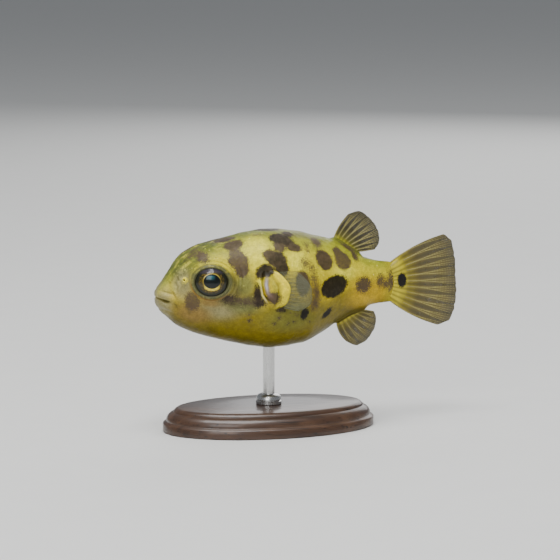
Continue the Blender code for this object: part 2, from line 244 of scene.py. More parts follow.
class Recipe:
    """One material in the making: its tree and the ingredients that every finish needs."""

    def __init__(self, name):
        self.material = bpy.data.materials.new(name)
        self.material.use_nodes = True
        self.tree = self.material.node_tree
        self.spot = object_coordinates(self.tree)

    def read(self, name):
        """A number stored on the mesh's points."""
        return Value(add_node(self.tree, "ShaderNodeAttribute", attribute_name=name).outputs["Fac"])

    def noise(self, size, detail=3.0, roughness=0.55, stretch=None):
        """Soft noise whose lumps are about this many metres across, or drawn out by a stretch."""
        spot = self.spot
        if stretch:
            spot = add_node(self.tree, "ShaderNodeMapping", {"Vector": spot, "Scale": stretch}).outputs[0]
        inputs = {"Vector": spot, "Scale": 1 / size, "Detail": detail, "Roughness": roughness}
        return Value(add_node(self.tree, "ShaderNodeTexNoise", inputs).outputs["Fac"])

    def ramp(self, value, stops):
        """A colour for each value, through stops of (value, colour)."""
        node = add_node(self.tree, "ShaderNodeValToRGB", {0: value})
        node.color_ramp.interpolation = "EASE"
        elements = node.color_ramp.elements
        while len(elements) < len(stops):
            elements.new(0.5)
        for element, (stop, colour) in zip(elements, stops):
            element.position, element.color = stop, rgba(colour)
        return Value(node.outputs["Color"])

    def drift(self, colour, patch, amount):
        """The colour, a little lighter or darker from patch to patch."""
        inputs = {"Colour": rgba(colour), "Patch": patch, "Amount": amount}
        node = add_node(self.tree, "ShaderNodeGroup", inputs, node_tree=COLOUR_DRIFT)
        return Value(node.outputs["Colour"])

    def mosaic(self, cell):
        """A random number for each cell of the skin, and how high the skin stands in it."""
        node = add_node(self.tree, "ShaderNodeGroup", {"Cell": cell}, node_tree=SKIN_MOSAIC)
        return Value(node.outputs["Pick"]), Value(node.outputs["Height"])

    def finish(self, inputs, *bumps):
        """Fills the Principled shader and returns the material. A bump is height, strength, distance."""
        shader = self.tree.nodes["Principled BSDF"]
        for key, value in inputs.items():
            feed(shader.inputs[key], value)
        normal = None
        for height, strength, distance in bumps:
            inputs = {"Height": height, "Strength": strength, "Distance": distance}
            bump = add_node(self.tree, "ShaderNodeBump", inputs)
            if normal:
                feed(bump.inputs["Normal"], normal)
            normal = bump.outputs["Normal"]
        if normal:
            feed(shader.inputs["Normal"], normal)
        return self.material


print("tree helpers ready")

# %% [markdown]
# ## Two effects that several finishes share
# Nothing that grew or was cut is one flat colour. The first group drifts a colour lighter and
# darker over soft patches. The second is the fine mosaic of a scaleless skin: tiny rounded cells,
# each a little different, with the height between them. Both put out only colours and heights, so
# the shader itself stays in each material.


# %% Shared groups
def new_group(name, inputs, outputs):
    """A shader node group, its inputs as Values and its outputs. A tuple stands for a colour."""
    group = bpy.data.node_groups.new(name, "ShaderNodeTree")
    for way, sockets in (("INPUT", inputs), ("OUTPUT", outputs)):
        for label, value in sockets.items():
            kind = "NodeSocketColor" if isinstance(value, tuple) else "NodeSocketFloat"
            group.interface.new_socket(label, in_out=way, socket_type=kind).default_value = value
    into, out = group.nodes.new("NodeGroupInput").outputs, group.nodes.new("NodeGroupOutput").inputs
    return group, {label: Value(into[label]) for label in inputs}, out


def make_drift_group():
    grey = (0.5, 0.5, 0.5, 1.0)
    inputs = {"Colour": grey, "Patch": 0.001, "Amount": 0.2}
    group, given, out = new_group("Colour drift", inputs, {"Colour": grey})
    inputs = {"Vector": object_coordinates(group), "Scale": 1.0 / given["Patch"], "Detail": 4.0}
    patches = Value(add_node(group, "ShaderNodeTexNoise", inputs).outputs["Fac"])
    value = (patches - 0.5) * given["Amount"] * 2.0 + 1.0
    feed(out["Colour"], brighten(given["Colour"], value))
    return group


def make_mosaic_group():
    group, given, out = new_group("Skin mosaic", {"Cell": 0.0001}, {"Pick": 0.0, "Height": 0.0})
    inputs = {"Vector": object_coordinates(group), "Scale": 1.0 / given["Cell"]}
    nearest = add_node(group, "ShaderNodeTexVoronoi", inputs)
    picked = add_node(group, "ShaderNodeSeparateColor", {0: nearest.outputs["Color"]})
    feed(out["Pick"], picked.outputs[0])
    feed(out["Height"], 1.0 - Value(nearest.outputs["Distance"]))
    return group


COLOUR_DRIFT, SKIN_MOSAIC = make_drift_group(), make_mosaic_group()
print("groups:", COLOUR_DRIFT.name, "and", SKIN_MOSAIC.name)

# %% Floor
FLOOR_HALF, FLOOR_WHITE = 3.0, (0.72, 0.72, 0.70)

card = Recipe("pale card")
card_colour = card.drift(FLOOR_WHITE, 0.004, 0.02)
floor_mesh = bpy.data.meshes.new("floor")
floor_corners = [(x * FLOOR_HALF, y * FLOOR_HALF, 0) for x, y in ((-1, -1), (1, -1), (1, 1), (-1, 1))]
floor_mesh.from_pydata(floor_corners, [], [(0, 1, 2, 3)])
floor_mesh.materials.append(card.finish({"Base Color": card_colour, "Roughness": 0.8}))
floor = put("floor", floor_mesh)
print("floor", 2 * FLOOR_HALF, "m across")

# %% [markdown]
# ## The body's shape
# The flesh is one smooth loft. A table of landmarks gives the back, the belly, the half width and
# the squareness of the cross-section, and a curve that never overshoots joins them. The frame's
# solids come from the same table, so the skin lies on them. A fish skin has no seams, so it is made
# as a single mesh of rings instead of being put together from the parts beneath it.

# %% Landmarks
FIELDS = "at top bottom half widest roof floor".split()
SECTIONS = np.array([
    (0.3, -0.8, -2.4, 0.9, -1.5, 2.0, 2.0),  # tip of the lips
    (0.8, 1.4, -4.8, 3.4, -1.8, 2.1, 2.0),  # lips
    (2.0, 2.9, -7.1, 5.2, -2.1, 2.1, 2.0),  # chin
    (5.0, 6.7, -9.8, 7.2, -2.2, 2.2, 2.1),  # corner of the mouth
    (8.5, 11.3, -12.9, 9.4, -2.2, 2.5, 2.2),  # nostrils
    (12.0, 14.8, -14.8, 11.4, -2.0, 2.8, 2.2),  # front of the eyes
    (18.7, 18.0, -17.3, 14.4, -1.5, 2.6, 2.2),  # eyes
    (28.0, 20.2, -19.9, 17.4, -2.5, 2.3, 2.1),  # nape
    (38.0, 22.4, -22.2, 19.5, -3.8, 2.1, 2.1),  # gill opening
    (45.5, 23.2, -23.2, 20.3, -4.4, 2.0, 2.1),  # crown of the back
    (58.0, 21.9, -22.1, 18.4, -4.0, 2.0, 2.0),  # end of the paunch
    (64.5, 20.1, -19.6, 15.4, -2.6, 2.0, 2.0),  # vent
    (72.7, 18.0, -15.0, 11.2, -0.6, 2.0, 2.0),  # front of the dorsal fin
    (82.3, 11.9, -10.3, 6.9, 0.4, 2.0, 2.0),  # rear of the dorsal fin
    (91.0, 9.0, -8.0, 4.8, 0.4, 2.0, 2.0),  # tail stalk
    (96.5, 8.2, -7.6, 3.2, 0.3, 2.2, 2.2),  # root of the tail
    (98.8, 6.6, -6.2, 2.2, 0.2, 2.3, 2.3),  # rounded end of the stalk
    (99.8, 4.2, -3.8, 1.3, 0.2, 2.4, 2.4),  # end of the backbone
])
BROW_AT, BROW_UP, BROW_SWELL, BROW_REACH = 16.5, 8.0, 2.3, 9.0


def smooth_value(knots, values, at):
    """A curve through the knots that rises and falls only where they do (monotone cubic)."""
    knots, values = np.asarray(knots, float), np.asarray(values, float)
    steps, rises = np.diff(knots), np.diff(values)
    slopes = rises / steps
    tangents = np.concatenate([slopes[:1], np.zeros(len(slopes) - 1), slopes[-1:]])
    same_way = slopes[:-1] * slopes[1:] > 0
    total = slopes[:-1] + slopes[1:]
    tangents[1:-1][same_way] = 2 * (slopes[:-1] * slopes[1:])[same_way] / total[same_way]
    at = np.clip(np.asarray(at, float), knots[0], knots[-1])
    span = np.clip(np.searchsorted(knots, at, side="right") - 1, 0, len(steps) - 1)
    t = (at - knots[span]) / steps[span]
    rise = values[span] + rises[span] * t * t * (3 - 2 * t)
    lean_in = t * (1 - t) ** 2 * tangents[span]
    lean_out = t * t * (t - 1) * tangents[span + 1]
    return rise + steps[span] * (lean_in + lean_out)


def section(field, at):
    """One of the landmark table's fields, at any place along the body."""
    return smooth_value(SECTIONS[:, 0], SECTIONS[:, FIELDS.index(field)], at)


def brow_swell(at, up):
    """How far the skin stands out round the eye."""
    reach = np.hypot(at - BROW_AT, up - BROW_UP) / BROW_REACH
    return BROW_SWELL * np.exp(-(reach**2))


print("landmarks:", len(SECTIONS))

# %% [markdown]
# ## Rings where the detail is
# A head needs far more points than a flank. The rings are spaced by a table of wanted distances,
# measured along the skin, and each ring spreads its points more closely between the mouth and the
# top of the eye than over the back and belly. That keeps the lids and nostrils crisp within one
# mesh of moderate size.

# %% Rings
RINGS, OUTLINE_SAMPLES, QUARTER_SAMPLES, SAMPLE_CROWDING = 322, 8001, 241, 1.6
UPPER_POINTS, LOWER_POINTS = 90, 56
RING_PITCH = ((0, 0.15), (5, 0.17), (28, 0.21), (33, 0.34), (37, 0.24), (48, 0.24), (53, 0.5), (100, 0.7))
UPPER_CROWDING = ((0, 0), (0.66, 0.5), (1, 1))
LOWER_CROWDING = ((0, 0), (0.38, 0.24), (1, 1))


def ring_stations():
    """Places along the body, as close as RING_PITCH asks for in proportion."""
    first, last = SECTIONS[0, 0], SECTIONS[-1, 0]
    at = first + (last - first) * np.linspace(0, 1, OUTLINE_SAMPLES) ** 2
    outline = [np.abs(np.diff(section(field, at))) for field in ("top", "bottom", "half")]
    run = np.hypot(np.diff(at), np.max(outline, axis=0))
    pitch = smooth_value(*zip(*RING_PITCH), (at[1:] + at[:-1]) / 2)
    wanted = np.concatenate([[0], np.cumsum(run / pitch)])
    return np.interp(np.linspace(0, wanted[-1], RINGS), wanted, at)


def quarter_rings(at, above, shares):
    """Side and up of points from the widest level to the back or belly line, along the skin."""
    at = at[:, None]
    turn = math.pi / 2 * np.linspace(0, 1, QUARTER_SAMPLES) ** SAMPLE_CROWDING
    end, widest = section("top" if above else "bottom", at), section("widest", at)
    power = 2 / section("roof" if above else "floor", at)
    cosine = np.clip(np.cos(turn), 0, 1)
    up = widest + (end - widest) * np.sin(turn) ** power
    side = section("half", at) * cosine**power + brow_swell(at, up) * cosine**0.5
    run = np.hypot(np.diff(side), np.diff(up)).cumsum(axis=1)
    run = np.pad(run, ((0, 0), (1, 0))) / run[:, -1:]
    sides = [np.interp(shares, r, s) for r, s in zip(run, side)]
    ups = [np.interp(shares, r, u) for r, u in zip(run, up)]
    return np.array(sides), np.array(ups)


def body_rings(at):
    """Rings of points, from the fish's right side over the back, down the left and under."""
    up_steps = np.arange(UPPER_POINTS) / UPPER_POINTS
    low_steps = np.arange(LOWER_POINTS) / LOWER_POINTS
    quarters = (
        (RIGHT, True, smooth_value(*zip(*UPPER_CROWDING), up_steps)),
        (LEFT, True, smooth_value(*zip(*UPPER_CROWDING), 1 - up_steps)),
        (LEFT, False, smooth_value(*zip(*LOWER_CROWDING), low_steps)),
        (RIGHT, False, smooth_value(*zip(*LOWER_CROWDING), 1 - low_steps)),
    )
    rows, girths = [], []
    for hand, above, shares in quarters:
        side, up = quarter_rings(at, above, shares)
        rows.append(np.stack([np.broadcast_to(at[:, None], side.shape), hand * side, up], axis=-1))
        girths.append(0.5 - 0.5 * shares if above else 0.5 + 0.5 * shares)
    return np.concatenate(rows, axis=1), np.concatenate(girths)


def unit(vectors):
    """The same directions, each one unit long."""
    vectors = np.asarray(vectors, float)
    return vectors / np.maximum(np.linalg.norm(vectors, axis=-1, keepdims=True), 1e-9)


def normals_of(rings):
    """Outward directions of a sheet of rings."""
    around = np.roll(rings, -1, axis=1) - np.roll(rings, 1, axis=1)
    return unit(np.cross(around, np.gradient(rings, axis=0)))


plain_rings, girth = body_rings(ring_stations())
print("rings:", plain_rings.shape[0], "points in a ring:", plain_rings.shape[1])

# %% [markdown]
# ## Relief helpers
# Folds, lips and rims are all the same thing to a modeller: a soft ridge or groove at some distance
# from a line. A bell curve across the line gives the form, a smooth step fades its ends, and a
# path helper measures the distance to any bent line drawn on the flank.


# %% Relief helpers
def bell(value, middle, width):
    """1 at the middle, and soft slopes to 0 within about two widths."""
    return np.exp(-(((value - middle) / width) ** 2))


def smooth_step(low, high, value):
    """0 up to low, 1 from high on and a soft rise between. It falls where low is the larger."""
    t = np.clip((value - low) / (high - low), 0, 1)
    return t * t * (3 - 2 * t)


def path_distance(at, up, path):
    """Signed distance from a line on the flank, positive behind it, and the share of its length."""
    path = np.asarray(path, float)
    steps = np.diff(path, axis=0)
    lengths = np.linalg.norm(steps, axis=1)
    starts = np.concatenate([[0], lengths.cumsum()])
    best = np.full(at.shape, np.inf)
    signed, share = np.zeros(at.shape), np.zeros(at.shape)
    for corner, step, length, start in zip(path, steps, lengths, starts):
        a, u = at - corner[0], up - corner[1]
        t = np.clip((a * step[0] + u * step[1]) / length**2, 0, 1)
        away = np.hypot(a - t * step[0], u - t * step[1])
        nearer = away < best
        best = np.where(nearer, away, best)
        side = np.sign(step[0] * u - step[1] * a)
        signed = np.where(nearer, away * side, signed)
        share = np.where(nearer, (start + t * length) / starts[-1], share)
    return signed, share


def ends_fade(share, taper):
    """1 along a line's length, and a soft fade to 0 at both ends."""
    return smooth_step(0, taper, share) * smooth_step(0, taper, 1 - share)


print("relief helpers ready")

# %% [markdown]
# ## The mouth
# A puffer's mouth is small and low, with plump lips that hide its beak. It could be a hole with a
# lip mesh sewn to it. A groove with a sharp upper edge and a sloping floor, between two plump
# ridges, gives the same look in the one skin, and it closes by itself towards the corner.

# %% Mouth
MOUTH_LEVEL, MOUTH_FALL, MOUTH_CORNER = -1.45, -0.27, 5.3
MOUTH_DEPTH, MOUTH_GAPE, GAPE_CLOSES = 1.25, 1.2, 2.4
LIPS_SWELL, GAPE_OPENS = (0.3, 2.6), (0.2, 2.2)  # where they grow to full size, back from the tip
LIP_EDGE, FLOOR_SLOPE = 0.12, 0.65
# Level above the gape, half height and swelling: two lips, then the grooves that bound them.
MOUTH_RIDGES = ((1.30, 0.90, 0.62), (-2.35, 1.05, 0.62), (-4.3, 0.60, -0.34), (2.9, 0.50, -0.42))


def mouth_relief(points):
    """How far the skin stands out round the mouth, and where the gape is, which the finish darkens as painted
    shade.
    """
    at, _, up = np.moveaxis(points, -1, 0)
    above = up - (MOUTH_LEVEL + MOUTH_FALL * at)
    corner = smooth_step(MOUTH_CORNER, MOUTH_CORNER - GAPE_CLOSES, at)
    lips = smooth_step(MOUTH_CORNER + 1.0, MOUTH_CORNER - 1.4, at)
    lips = lips * (0.15 + 0.85 * smooth_step(*LIPS_SWELL, at))
    gape = MOUTH_GAPE * (0.30 + 0.70 * smooth_step(*GAPE_OPENS, at)) * corner
    floor_rise = smooth_step(-gape - FLOOR_SLOPE, -gape * 0.45, above)
    opening = smooth_step(LIP_EDGE, -LIP_EDGE, above) * floor_rise * corner
    depth = np.minimum(MOUTH_DEPTH, 0.20 + 0.75 * np.clip(at - 0.3, 0, None))
    relief = sum(swelling * bell(above, level, half) * lips for level, half, swelling in MOUTH_RIDGES)
    return relief - depth * opening, opening


print(f"mouth {MOUTH_CORNER * PERCENT * 1000:.2f} mm long")

# %% [markdown]
# ## Creases, nostrils and gill opening
# Loose skin folds where it bends. A short list of lines gives the creases of lip, snout and cheek.
# Each nostril is a low open tube, so the skin is pushed out along the tube's own aim and sunk again
# in the hole. The gill opening is a curved slit in front of the fin with a pale raised rim, and
# behind it swells the fleshy lobe that carries the fin.

# %% Creases
Crease = namedtuple("Crease", "path depth width")
CREASES = [Crease(*row) for row in (
    (((4.9, 1.6), (5.6, 0.0), (6.3, -1.6)), 0.34, 0.34),  # behind the upper lip
    (((5.2, -3.0), (6.4, -4.3), (7.0, -6.2)), 0.30, 0.40),  # corner of the mouth
    (((7.0, 8.2), (7.3, 6.2), (7.6, 4.4)), 0.22, 0.30),  # before the nostril
    (((9.6, -2.2), (10.3, -5.2), (11.8, -8.2)), 0.20, 0.55),  # jaw
    (((27.6, 5.5), (28.4, 0.5), (27.2, -5.0)), 0.16, 0.60),  # behind the cheek
    (((10.9, 9.2), (10.6, 5.4), (11.3, 1.2)), 0.26, 0.34),  # before the eye
    (((6.2, 5.4), (6.9, 3.0), (6.6, 0.6)), 0.24, 0.30),  # side of the snout
    (((3.6, 3.4), (5.2, 4.6), (6.6, 7.6)), 0.20, 0.32),  # over the lip
    (((8.2, 0.4), (9.6, -0.4), (11.0, -2.0)), 0.20, 0.36),  # side of the cheek
    (((29.2, 12.6), (30.6, 8.8), (30.2, 4.2)), 0.16, 0.42),  # nape
)]


def crease_relief(points):
    # The second result marks each crease line, which the finish darkens as painted shade.
    at, _, up = np.moveaxis(points, -1, 0)
    relief, line = np.zeros(at.shape), np.zeros(at.shape)
    for crease in CREASES:
        away, share = path_distance(at, up, crease.path)
        groove = bell(away, 0, crease.width) - 0.45 * bell(away, 2.2 * crease.width, crease.width)
        relief -= crease.depth * groove * ends_fade(share, 0.3)
        line = np.maximum(line, bell(away, 0, 0.8 * crease.width) * ends_fade(share, 0.4))
    return relief, line


print("creases:", len(CREASES))

# %% Nostrils
NOSTRIL_AT, NOSTRIL_UP = 9.3, 5.6
NOSTRIL_AIM = (-0.40, 0.80, 0.45)
NOSTRIL_HEIGHT, NOSTRIL_FOOT, NOSTRIL_LIP, NOSTRIL_REACH = 1.2, 1.8, 0.72, 4
NOSTRIL_HOLE_WALL, NOSTRIL_HOLE_FLOOR, NOSTRIL_HOLE_DEPTH = 0.52, 0.14, 0.95


def flank_side(at, up):
    """The body's half width at a level, brow included."""
    top, bottom, widest = (section(f, at) for f in ("top", "bottom", "widest"))
    above = up > widest
    share = np.clip((up - widest) / (np.where(above, top, bottom) - widest), 0, 1)
    power = np.where(above, section("roof", at), section("floor", at))
    return section("half", at) * (1 - share**power) ** (1 / power) + brow_swell(at, up)


def nostril_shift(points, hand):
    """The push along a nostril's aim, and the masks of its hole, which the finish darkens as painted shade,
    and its tube.
    """
    aim_out = unit(np.multiply(NOSTRIL_AIM, (1, hand, 1)))
    foot = (NOSTRIL_AT, hand * flank_side(NOSTRIL_AT, NOSTRIL_UP), NOSTRIL_UP)
    away = points - foot
    along = away @ aim_out
    across = np.linalg.norm(away - along[..., None] * aim_out, axis=-1)
    tube = smooth_step(NOSTRIL_FOOT, NOSTRIL_LIP, across)
    hole = smooth_step(NOSTRIL_HOLE_WALL, NOSTRIL_HOLE_FLOOR, across)
    near = np.abs(along) < NOSTRIL_REACH
    push = np.where(near, NOSTRIL_HEIGHT * (tube**1.3 - NOSTRIL_HOLE_DEPTH * hole), 0)
    return push[..., None] * aim_out, np.where(near, hole, 0), np.where(near, tube, 0)


print(f"nostrils {NOSTRIL_HEIGHT * PERCENT * 1000:.2f} mm tall")

# %% Gill opening and fin lobe
GILL_PATH = ((39.6, 9.4), (38.3, 7.9), (37.7, 4.0), (38.2, 0.2), (40.4, -3.3))
LOBE_FRONT, LOBE_REAR, LOBE_MIDDLE, LOBE_HALF = 40.0, 45.7, 1.8, 7.2
# The roll's painted light: the first number is how much of its yellow stays in painted shade, the pair the
# level and width of its brightest band.
ROLL_SHADED, ROLL_LIT = 0.40, (0.35, 0.75)  # the roll's least colour, and the level of its best
LOBE_HEIGHT, LOBE_LEAN = 4.6, 0.42
# Creases across the lobe: how far before its rear edge, slant, width and depth.
LOBE_CREASES = ((2.5, 0.0, 0.50, 1.20), (3.6, 0.0, 0.70, -0.35), (0.9, 0.6, 0.32, 0.40))
# The third pair places the flap's pale band, which is partly pale membrane and partly painted highlight.
GILL_RIM, GILL_SLIT, FLAP_HIGHLIGHT_BAND = (-0.55, 0.34), (0.20, 0.30), (1.55, 0.50)  # middle and width
GILL_RISE, SLIT_DEPTH = 0.30, 1.10
RIM_PALES, FLAP_SHADE_STARTS = (0.35, 0.60), (0.12, 0.36)  # where they start, as shares of the slit


def gill_relief(points):
    """The raised rim, the slit behind it with painted shade in it, and the damp flap inside, painted shade
    with a pale band that is partly painted highlight.
    """
    at, _, up = np.moveaxis(points, -1, 0)
    away, share = path_distance(at, up, GILL_PATH)
    fade = ends_fade(share, 0.2)
    rim, slit = bell(away, *GILL_RIM) * fade, bell(away, *GILL_SLIT) * fade
    flap = smooth_step(0.5, 1.0, away) * smooth_step(3.0, 1.9, away) * fade
    return GILL_RISE * rim - SLIT_DEPTH * slit + GILL_RISE * flap, {
        "gill_rim": rim * smooth_step(*RIM_PALES, share),
        "gill_slit_shade": slit,
        "gill_flap_shade": flap * smooth_step(*FLAP_SHADE_STARTS, share),
        "flap_pearl_highlight": bell(away, *FLAP_HIGHLIGHT_BAND) * bell(up, 3.6, 2.4),
    }


def lobe_rear(up):
    """Level on the lobe, from -1 to 1, and where the lobe's wavy rear edge runs."""
    level = (up - LOBE_MIDDLE) / LOBE_HALF
    return level, LOBE_REAR - 2.2 * level**2 - 0.7 * level + 0.14 * np.sin(7.3 * level + 0.6)


def lobe_height(points):
    """The fleshy foot of the pectoral fin: it rises to a rolled rear edge and ends there."""
    at, _, up = np.moveaxis(points, -1, 0)
    level, rear = lobe_rear(up)
    waist = np.clip(1 - level**2, 0, 1) ** 0.75
    run = np.clip((at - LOBE_FRONT) / (rear - LOBE_FRONT), 0, 1)
    edge = smooth_step(rear + 0.95, rear - 0.25, at)
    crease = sum(
        depth * bell(at, rear - before - slant * level, width) for before, slant, width, depth in LOBE_CREASES
    )
    return (LOBE_HEIGHT * run**1.15 - crease) * waist * edge


def lobe_roll(points):
    """Where the bright roll along the lobe's rear edge lies, with painted light at its middle level and
    painted shade above and below, and the crease before it, which is painted shade.
    """
    at, _, up = np.moveaxis(points, -1, 0)
    level, rear = lobe_rear(up)
    roll = smooth_step(rear - 2.8, rear - 1.5, at) * smooth_step(rear + 1.2, rear + 0.4, at)
    lit = ROLL_SHADED + (1 - ROLL_SHADED) * bell(level, *ROLL_LIT)
    crease = bell(at, rear - 2.6, 0.42) * smooth_step(0.95, 0.55, np.abs(level))
    return roll * lit * (np.abs(level) < 1), crease


print("gill opening of", len(GILL_PATH), "points, lobe", LOBE_HEIGHT, "percent high")

# %% [markdown]
# ## The eye socket
# The skin runs up to the eyeball and turns in under it, with a rolled lid and folds round it that
# are deepest above and behind. Distances are taken in the eye's own frame: rearward, upright and
# out along its line of sight. Points near the lid are drawn towards it first, so that the edge
# gets the most points. Inside the opening the skin dives under the eyeball and closes there.

# %% Eye socket
EYE_AT, EYE_UP, EYE_SIDE = 19.0, 5.2, 13.0
EYE_RADIUS, EYE_DEPTH = 6.7, 3.9
EYE_FORWARD, EYE_UPWARD = math.radians(18), math.radians(5)
LID_HALF_LENGTH, LID_HALF_HEIGHT = 6.40, 5.45
LID_MIDDLE = (0.25, -0.15)
LID_RISE, LID_DRAW, LID_CROWDING, LID_HOLD = 0.22, 0.20, 0.35, 0.30
SOCKET_FLOOR, SOCKET_WALL, SKULL_SIDE = -1.2, (1.0, 0.84), -9
FOLD_TURN = math.radians(25)  # how far the deepest folds lie behind the top of the eye
FAR_FROM_EYE = 2.6  # in lid sizes, where the eye's folds have died out
# Each fold is: distance in lid sizes, width, height, and how much of it is left below the eye.
FOLDS = (
    (1.085, 0.055, 0.42, 1.00),
    (1.215, 0.050, -0.34, 0.80),
    (1.330, 0.060, 0.26, 0.55),
    (1.450, 0.055, -0.36, 0.20),
    (1.560, 0.060, 0.30, 0.12),
    (1.680, 0.055, -0.22, 0.05),
    (1.790, 0.060, 0.16, 0.00),
)


def eye_axes(hand):
    """Rearward, upright and line of sight of an eye, and its middle."""
    sight = unit((-math.sin(EYE_FORWARD), hand * math.cos(EYE_FORWARD), math.tan(EYE_UPWARD)))
    rearward = np.array((math.cos(EYE_FORWARD), hand * math.sin(EYE_FORWARD), 0))
    upright = unit(np.array((0, 0, 1)) - sight[2] * sight)
    return rearward, upright, sight, np.array((EYE_AT, hand * EYE_SIDE, EYE_UP))


def lid_coordinates(rear, rise):
    """Distance from the lid's middle in lid sizes, and the direction round it."""
    across = (rear - LID_MIDDLE[0]) / LID_HALF_LENGTH
    above = (rise - LID_MIDDLE[1]) / LID_HALF_HEIGHT
    return np.hypot(across, above), np.arctan2(above, across)


def socket(points, hand):
    """The skin's points moved round one eye, and how far each is from it in lid sizes."""
    rearward, upright, sight, middle = eye_axes(hand)
    away = points - middle
    rear, rise, out = away @ rearward, away @ upright, away @ sight
    near = (points[..., 1] * hand > 0) & (out > SKULL_SIDE)
    size, round_eye = lid_coordinates(rear, rise)
    pull = np.abs(size - 1) / LID_DRAW
    size = np.where(pull < 1, 1 + (size - 1) * (LID_CROWDING + (1 - LID_CROWDING) * pull), size)
    rear = LID_MIDDLE[0] + LID_HALF_LENGTH * size * np.cos(round_eye)
    rise = LID_MIDDLE[1] + LID_HALF_HEIGHT * size * np.sin(round_eye)
    lid_rear = LID_MIDDLE[0] + LID_HALF_LENGTH * np.cos(round_eye)
    lid_rise = LID_MIDDLE[1] + LID_HALF_HEIGHT * np.sin(round_eye)
    ball = EYE_DEPTH * np.sqrt(np.clip(1 - (lid_rear**2 + lid_rise**2) / EYE_RADIUS**2, 0, 1))
    lid = ball + LID_RISE
    hold = np.where(size > 1, np.exp(-(np.clip(size - 1, 0, None) / LID_HOLD) ** 2), 1)
    height = out + hold * (lid - out)
    upper = 0.5 + 0.5 * np.sin(round_eye + FOLD_TURN)
    for spot, width, amount, below in FOLDS:
        height = height + amount * bell(size, spot, width) * (below + (1 - below) * upper**1.2)
    dive = smooth_step(*SOCKET_WALL, size)
    height = height + dive * (SOCKET_FLOOR - height)
    moved = middle + rear[..., None] * rearward + rise[..., None] * upright + height[..., None] * sight
    use = near & (size < FAR_FROM_EYE)
    points = np.where(use[..., None], moved, points)
    return points, np.where(use, size, FAR_FROM_EYE), np.where(use, upper, 0.5)


print("lid opening", round(2 * LID_HALF_LENGTH * PERCENT * 1000, 2), "mm long")

# %% [markdown]
# ## Put the relief together
# Each helper only says how far the skin moves. Mouth, creases, gill, fin lobe and the feet of the
# fins are added along the skin's own normals, with a faint unevenness so that no part is machine
# smooth, and the stalk is thinned. Then each side gets its nostril and its eye socket, which have
# aims of their own.

# %% Skin points
FIN_BASES = ((72.0, 83.5, True), (73.2, 86.0, False))
FIN_BASE_RISE, FIN_BASE_WIDTH = 1.3, 1.3
STALK_END, STALK_THINS, STALK_YELLOWS = 0.85, (82.0, 99.3), (91.0, 98.0)
LUMP_HEIGHT, RIPPLE_HEIGHT = 0.055, 0.025


def fin_base_relief(points, normals):
    """Low ridges of flesh where the dorsal and anal fins stand."""
    at, side, _ = np.moveaxis(points, -1, 0)
    relief = np.zeros(at.shape)
    for fore, rear, above in FIN_BASES:
        here = normals[..., 2] > 0 if above else normals[..., 2] < 0
        span = smooth_step(fore - 1.5, fore + 1.5, at) * smooth_step(rear + 1.5, rear - 1.5, at)
        relief += np.where(here, FIN_BASE_RISE * span * bell(side, 0, FIN_BASE_WIDTH), 0)
    return relief


def unevenness(points):
    """Slow lumps from a few crossing waves, the same on every run."""
    at, side, up = np.moveaxis(points, -1, 0)
    waves = np.sin(0.83 * at + 0.31 * up) * np.sin(0.47 * up - 0.39 * side + 1.3)
    ripples = np.sin(2.1 * at - 1.3 * up + 0.7) * np.sin(1.7 * up + 1.1 * side)
    return LUMP_HEIGHT * waves + RIPPLE_HEIGHT * ripples


def dress_rings(rings):
    """All relief on the plain rings, and the masks that the finish paints by."""
    normals = normals_of(rings)
    masks = {}
    mouth, masks["mouth"] = mouth_relief(rings)
    gill, gill_masks = gill_relief(rings)
    lobe = lobe_height(rings)
    masks.update(gill_masks, lobe=np.clip(lobe / LOBE_HEIGHT, 0, 1))
    masks["roll"], masks["lobe_crease_shade"] = lobe_roll(rings)
    creases, masks["crease"] = crease_relief(rings)
    relief = mouth + creases + gill + unevenness(rings) + fin_base_relief(rings, normals)
    points = rings + relief[..., None] * normals + lobe[..., None] * normals
    points[..., 0] += LOBE_LEAN * lobe
    thin = STALK_END / np.maximum(section("half", points[..., 0]), STALK_END)
    points[..., 1] *= 1 - (1 - thin) * smooth_step(*STALK_THINS, points[..., 0])
    masks["stalk_end"] = smooth_step(*STALK_YELLOWS, points[..., 0])
    plain = {"nostril": 0.0, "nostril_tube": 0.0, "eye_size": FAR_FROM_EYE, "eye_upper": 0.5}
    masks.update({mask: np.full(lobe.shape, value) for mask, value in plain.items()})
    for hand in (LEFT, RIGHT):
        here = rings[..., 1] * hand > 0
        shift, *nostril = nostril_shift(rings, hand)
        points, *eye = socket(points + np.where(here[..., None], shift, 0), hand)
        for mask, values in zip(plain, nostril + eye):
            masks[mask] = np.where(here, values, masks[mask])
    return points, masks


skin_rings, skin_masks = dress_rings(plain_rings)
skin_masks["girth"] = np.broadcast_to(girth, skin_rings.shape[:2])
print("masks:", ", ".join(skin_masks))

# %% [markdown]
# ## The pattern of blotches
# A dwarf puffer is yellow with dark round blotches, each with a ragged or dotted edge. Painting
# them as pictures would tie them to one picture, so they are a list instead: where each lies, its
# half sizes, its tilt, how black it is and how far it breaks up into dots. Every point of the skin
# stores its distance from the nearest edge, and the finish decides where ink starts.
# The list is the left side and the back. The right side has the same kinds, shifted and resized by
# a fixed rule, because no two sides of a puffer are alike.

